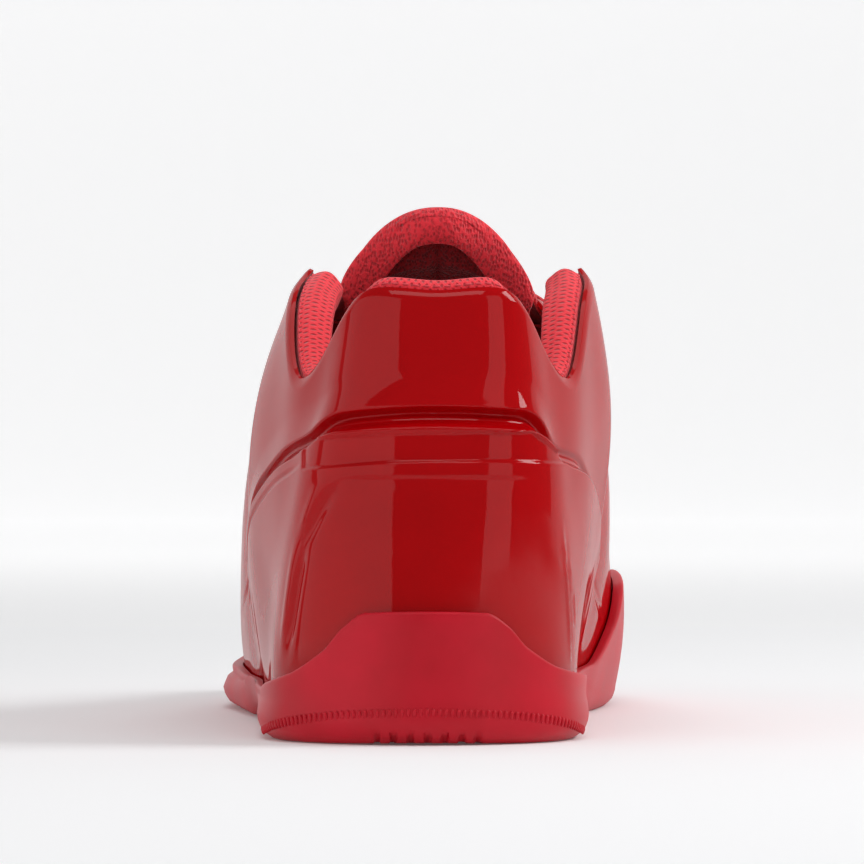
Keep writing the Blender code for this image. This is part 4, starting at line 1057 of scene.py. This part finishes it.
def on_instep(y, across, lift):
    """Points lifted off the instep, at places along the shoe and signed distances from the axis."""
    y, across, lift = np.broadcast_arrays(np.asarray(y, float), across, lift)
    i, j = (
        np.clip(np.interp(place, marks, np.arange(len(marks))), 0, len(marks) - 1.001)
        for place, marks in ((across, sheet_across), (y, sheet_along))
    )
    i0, j0 = i.astype(int), j.astype(int)
    fi, fj = (i - i0)[..., None], (j - j0)[..., None]

    def between(table):
        near = table[i0, j0] * (1 - fi) + table[i0 + 1, j0] * fi
        far = table[i0, j0 + 1] * (1 - fi) + table[i0 + 1, j0 + 1] * fi
        return near * (1 - fj) + far * fj

    normal = unit(between(sheet_normals))
    return between(sheet_points) + lift[..., None] * normal, normal


tongue_y = TONGUE["y"][::-1] * LENGTH
tongue_half = steady(tongue_y, TONGUE["half"][::-1] * BALL_WIDTH, level_ends=False)
tongue_thick = steady(tongue_y, TONGUE["thick"][::-1] * TONGUE_THICKNESS)
under_shell = np.linspace(TONGUE["y"][0] * LENGTH, TONGUE_LAST * LENGTH, TONGUE_ALONG)
arch = np.sin(np.linspace(0.0, math.pi / 2, TONGUE_ARCH + 1)[1:])
place_y = np.concatenate([under_shell, np.full(TONGUE_ARCH, TONGUE_LAST * LENGTH)])
rise_share = np.concatenate([np.zeros(TONGUE_ALONG), arch])
past = np.clip((rise_share - ARCH_START) / (1 - ARCH_START), 0.0, 1.0)
half = tongue_half(place_y) * (1 + ARCH_FULL * np.sin(np.pi * np.clip(rise_share / 0.5, 0, 1)))
half = half * np.sqrt(np.clip(1 - past**ARCH_POWER, 0.0, 1.0))
half[:12] *= np.sqrt(1 - (1 - np.linspace(0.02, 1.0, 12)) ** 2)
share = np.sin(np.linspace(-math.pi / 2, math.pi / 2, TONGUE_ACROSS))
across = half[:, None] * share
middle, normal = on_instep(place_y[:, None], across, -(SHELL_WALL + TONGUE_GAP))
middle = middle + rise_share[:, None, None] * np.array([0.0, -TONGUE_BACK, 1.0]) * TONGUE_RISE
crown = middle[:, TONGUE_ACROSS // 2, None, 2]
middle[..., 2] += ARCH_FLAT * rise_share[:, None] ** 0.6 * (crown - middle[..., 2])
run = run_along(middle[:, TONGUE_ACROSS // 2])
to_top = run[-1] - run
outline = np.concatenate([np.stack([-half, run], 1), np.stack([half, run], 1)[::-1]])
steps = run_along(outline)
fine = np.linspace(0.0, steps[-1], OUTLINE_PLACES)
outline = np.concatenate([outline, np.stack([np.interp(fine, steps, place) for place in outline.T], 1)])
border = np.array(
    [np.hypot(u[:, None] - outline[:, 0], v - outline[:, 1]).min(axis=1) for u, v in zip(across, run)]
)
thick = tongue_thick(place_y)[:, None] * (1 + ARCH_THICK * rise_share[:, None])
near_top = ease(PANEL_END, PANEL_START, to_top)[:, None]
edge_round = np.sqrt(1 - (1 - np.clip(border / (EDGE_SHARE * thick), 0.0, 1.0)) ** 2)
roll = 1 - PANEL_SUNK * near_top * ease(ROLL_WIDE - ROLL_FALL, ROLL_WIDE, border)
seam = SEAM_DEEP * near_top * np.exp(-((across / SEAM_HALF) ** 2))
seam = seam * ease(ROLL_WIDE, ROLL_WIDE + SEAM_EASE, border)
front = middle - normal * (0.5 * thick * (1 - edge_round))[..., None]
under = middle - normal * (0.5 * thick * (1 + edge_round * (2 * roll - 1 - seam)))[..., None]
PANEL_RED, PANEL_DARK = (0.36, 0.010, 0.018), (0.14, 0.003, 0.006)
ROLL_DARK = (0.58, 0.012, 0.024)
tongue_knit = knit_material("tongue_knit", KNIT_RED, ROLL_DARK, 1.3, 1.7, 0.35, upright=True)
panel_knit = knit_material("tongue_panel_knit", PANEL_RED, PANEL_DARK, 1.2, 1.7, 0.25, upright=True)
rings = np.concatenate([front, under[:, ::-1]], 1)
sunk = (border > ROLL_WIDE - 1.0) & (near_top > 0.05)
finishes = np.concatenate([np.zeros_like(sunk), sunk[:, ::-1]], 1)[:-1].astype(int)
tongue = tube_with_uv("tongue_pad", rings, (tongue_knit, panel_knit), finishes.ravel())
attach(tongue, "root")
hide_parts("tongue")

# Eyelets. Twelve round holes punched through the shell along the throat, each with a low moulded
# rim that keeps the lace off the cut edge.
RIM_TUBE, HOLE_SIDES = 0.9, 40


def from_axis(y, side, past=EYELET_INSET):
    """How far from the axis a place past the throat's edge lies. An eyelet's is the usual one."""
    return float(throat_half(y, side)) + past


eyes = np.array(EYELETS) * LENGTH
holes = [on_instep(y, side * from_axis(y, side), 0.0) for side in (1, -1) for y in eyes]
work = bmesh.new()
for spot, out in holes:
    turned = Vector(out).to_track_quat("Z", "Y").to_matrix().to_4x4()
    bmesh.ops.create_cone(
        work,
        cap_ends=True,
        segments=HOLE_SIDES,
        radius1=EYELET_DIAMETER / 2 * MM,
        radius2=EYELET_DIAMETER / 2 * MM,
        depth=6 * SHELL_WALL * MM,
        matrix=Matrix.Translation((spot - SHELL_WALL / 2 * out - MIDDLE) * MM) @ turned,
    )
cut_with(patent_shell, work)
patent_shell.data.set_sharp_from_angle(angle=math.radians(SHELL_SHARP))


def rim_tree():
    """A low rounded rim round each hole, lying square to the point's attribute out."""
    new, given, out, finish = new_tree("rims_round_holes", ("Hole", "Tube"))
    ring, section = (
        new("GeometryNodeCurvePrimitiveCircle", Resolution=sides, Radius=given[size]).outputs["Curve"]
        for sides, size in ((36, "Hole"), (10, "Tube"))
    )
    tube = new("GeometryNodeCurveToMesh", Curve=ring, Profile_Curve=section).outputs["Mesh"]
    lie = new("FunctionNodeAlignRotationToVector", {"axis": "Z"}, Vector=out)
    return finish(given["Points"], tube, lie.outputs["Rotation"])


eyelet_rims = repeated(
    "eyelet_rims",
    [spot for spot, _ in holes],
    [out for _, out in holes],
    [],
    rim_tree(),
    Hole=(EYELET_DIAMETER + RIM_TUBE) / 2,
    Tube=RIM_TUBE / 2,
    Finish=patent,
)
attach(eyelet_rims, "root")

# Lace. One flat woven lace: a bar through the lowest eyelets, then crossings that dive under the
# throat's edge and come up through the next pair. Its two ends stop at the top eyelets.
LACE_WIDTH, LACE_THICKNESS, LACE_GAP = 5.0, 1.8, 0.6
LACE_LANDING = 0.45
FIRST_CROSS = 0.5
LACE_UNDER = 2.55
LACE_RED, LACE_DARK = (0.70, 0.035, 0.05), (0.45, 0.012, 0.02)
LACE_FINE = 8
LACE_SIDES, LACE_FLAT, LACE_ROUND = 16, 0.55, 0.8
lace_woven = knit_material("woven_lace", LACE_RED, LACE_DARK, 0.9, 0.6, 0.22)
lift = LACE_GAP + LACE_THICKNESS / 2
last = len(eyes) - 1
pitch = eyes[1] - eyes[0]


def lace_stops(side, over):
    """The stops of one half of the lace from the bar's middle to its end, as place along, signed
    distance from the axis, lift, share of the width and share of the thickness."""
    bar_y, bar_eye = eyes[last], from_axis(eyes[last], side)
    stops = [
        (bar_y, 0.0, lift, 1.0, 1.0),
        (bar_y, side * 0.6 * bar_eye, lift, 1.0, 1.0),
        (bar_y, side * (bar_eye - 1.6), lift, 0.85, 1.0),
        (bar_y, side * bar_eye, 0.0, 0.72, 0.9),
        (bar_y, side * (bar_eye - 1.2), -LACE_UNDER, 0.9, 0.45),
    ]
    start_y = bar_y - FIRST_CROSS * pitch
    edge = from_axis(start_y, side, 0.0)
    stops += [
        (start_y, side * (edge + 1.8), -LACE_UNDER, 1.0, 0.5),
        (start_y, side * (edge - 1.6), -0.8, 1.0, 0.9),
    ]
    for i in range(last - 1, -1, -1):
        other = -side
        end_y = eyes[i] + LACE_LANDING * pitch
        edge, eye = from_axis(end_y, other, 0.0), from_axis(eyes[i], other)
        from_y, from_x = stops[-1][0], stops[-1][1]
        to_x = other * (edge - 2.2)
        for share in (0.22, 0.5, 0.78):
            hump = lift + over * LACE_THICKNESS * math.sin(math.pi * share) ** 2
            over_y, over_x = from_y + share * (end_y - from_y), from_x + share * (to_x - from_x)
            stops.append((over_y, over_x, hump, 1.0, 1.0))
        stops += [
            (end_y, to_x, -0.4, 1.0, 0.9),
            (end_y - 1.0, other * (edge + 2.0), -LACE_UNDER, 1.0, 0.45),
            (eyes[i] + 0.6, other * (eye - 1.4), -LACE_UNDER, 0.85, 0.45),
            (eyes[i], other * eye, 0.0, 0.72, 0.9),
        ]
        if i:
            stops.append((eyes[i], other * (eye - 1.8), lift + 0.3, 0.9, 1.0))
        else:
            stops.append((eyes[i] - 0.6, other * (eye + 1.0), lift + 1.0, 0.85, 1.0))
            stops.append((eyes[i] - 1.6, other * (eye + 4.0), lift + 1.4, 0.9, 0.95))
        side = other
    return np.array(stops)


first_half, second_half = lace_stops(1, 0.0), lace_stops(-1, 1.0)
stops = np.concatenate([first_half[:0:-1], second_half])
padded_stops = np.vstack([stops[:1], stops, stops[-1:]])
four = (padded_stops[k : len(stops) - 1 + k, None] for k in range(4))
route = curve_between(*four, (np.arange(LACE_FINE) / LACE_FINE)[None, :, None])
route = np.vstack([route.reshape(-1, 5), stops[-1:]])
path, out = on_instep(route[:, 0], route[:, 1], route[:, 2])
run = unit(np.gradient(path, axis=0))
wide = unit(np.array([0.0, 1.0, 0.0]) - run * run[:, 1:2])
high = np.cross(run, wide)
angles = np.linspace(0.0, 2 * math.pi, LACE_SIDES, endpoint=False)
flat = np.sign(np.cos(angles)) * np.abs(np.cos(angles)) ** LACE_FLAT * LACE_WIDTH / 2
tall = np.sign(np.sin(angles)) * np.abs(np.sin(angles)) ** LACE_ROUND * LACE_THICKNESS / 2
rings = path[:, None] + wide[:, None] * (flat[:, None] * route[:, 3, None, None])
rings += high[:, None] * (tall[:, None] * route[:, 4, None, None])
for end in (0, -1):
    rings[end] = path[end] + 0.001 * (rings[end] - path[end])
lace = tube_with_uv("lace", rings, (lace_woven,))
print("lace length in mm", round(float(run_along(path)[-1]), 1))
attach(lace, "root")
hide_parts("lace_bar", *(f"lace_cross_{i + 1}" for i in range(last)))

# Stitches. One row of short thread stitches along the inside of the collar's roll, where the two
# sides of the padded knit are sewn together.
STITCH_PITCH, STITCH_LONG, STITCH_WIDE = 2.6, 2.0, 0.62
THREAD_RED = (0.72, 0.05, 0.07)
thread, place, add, wire = new_material("stitch_thread", THREAD_RED, 0.6)
twist = add("ShaderNodeTexNoise", Vector=place, Scale=1500.0).outputs["Fac"]
wire(relief(add, twist, 0.3, 0.0002), "Normal")
seam_points = pad_rings[8:-8, 5 * PAD_FINE - 2]
seam_outs = [form_normal(turn, 1.0) for turn in pad_turns[8:-8]]
stitch_sizes = (STITCH_PITCH, STITCH_LONG, STITCH_WIDE, STITCH_WIDE)
collar_stitches = bead_row("collar_stitches", seam_points, seam_outs, *stitch_sizes, thread)
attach(collar_stitches, "root")

# Stage. A pale seamless floor and backdrop, and soft studio lights: a wide softbox on the left, a
# narrow strip and a small key on the right, a light overhead and a weak fill over the camera.
FLOOR_WHITE = (0.86, 0.86, 0.87)
PAPER_GLOW, FLOOR_UNDER, BACKDROP_GLOW, WORLD_LIGHT = 0.05, 0.2, 0.52, 0.22
FLOOR_NEAR, FLOOR_FAR, FLOOR_SIDE = -6.0, 3.0, 7.0
CURVE_SIZE, WALL_TOP = 0.8, 4.0
GLOW_START, GLOW_END = 0.2, 2.0
paper, place, add, wire = new_material(
    "seamless_paper", FLOOR_WHITE, 0.9, Specular_IOR_Level=0.1, Emission_Color=(1.0, 1.0, 1.0, 1.0)
)
glow = add(
    "ShaderNodeMapRange",
    {"interpolation_type": "SMOOTHSTEP"},
    Value=add("ShaderNodeSeparateXYZ", Vector=place).outputs["Y"],
    From_Min=GLOW_START,
    From_Max=GLOW_END,
    To_Min=PAPER_GLOW,
    To_Max=BACKDROP_GLOW,
)
wire(glow.outputs["Result"], "Emission Strength")
sweep = [(FLOOR_NEAR, 0.0), (FLOOR_FAR, 0.0)]
for angle in np.linspace(0.1, math.pi / 2, 12):
    up = CURVE_SIZE - CURVE_SIZE * math.cos(angle)
    sweep.append((FLOOR_FAR + CURVE_SIZE * math.sin(angle), up))
sweep.append((FLOOR_FAR + CURVE_SIZE, WALL_TOP))
mesh = bpy.data.meshes.new("seamless_floor")
corners = [(x, y, z - FLOOR_UNDER * MM) for y, z in sweep for x in (-FLOOR_SIDE, FLOOR_SIDE)]
mesh.from_pydata(corners, [], [(i, i + 1, i + 3, i + 2) for i in range(0, 2 * len(sweep) - 2, 2)])
mesh.materials.append(paper)
mesh.shade_smooth()
seamless_floor = into_scene("seamless_floor", mesh)

AIM = Vector((0.0, -0.10, 0.07))
# Each light: name, degrees round and up, distance, width, height, power.
LIGHTS = (
    ("softbox_left", -64.0, 12.0, 1.5, 2.8, 1.3, 11.0),
    ("strip_right", 43.0, 12.0, 1.5, 0.55, 1.3, 2.4),
    ("key_right", 92.0, 36.0, 1.4, 0.6, 0.6, 11.0),
    ("top", 180.0, 78.0, 1.5, 1.4, 0.9, 5.0),
    ("fill", 0.0, 56.0, 1.6, 1.2, 0.5, 5.0),
)
for name, turn, up, far, wide, high, power in LIGHTS:
    lamp = bpy.data.lights.new(name, "AREA")
    lamp.shape = "RECTANGLE"
    lamp.size, lamp.size_y, lamp.energy = wide, high, power
    turn, up = math.radians(turn), math.radians(up)
    away = Vector((math.sin(turn) * math.cos(up), -math.cos(turn) * math.cos(up), math.sin(up)))
    light = into_scene(name, lamp)
    light.location = AIM + far * away
    light.rotation_euler = away.to_track_quat("Z", "Y").to_euler()

world = bpy.data.worlds.new("studio")
world.use_nodes = True
light_all_round = world.node_tree.nodes["Background"].inputs
light_all_round["Color"].default_value = (1.0, 1.0, 1.0, 1.0)
light_all_round["Strength"].default_value = WORLD_LIGHT
bpy.context.scene.world = world
bpy.context.scene.view_settings.view_transform = "Standard"
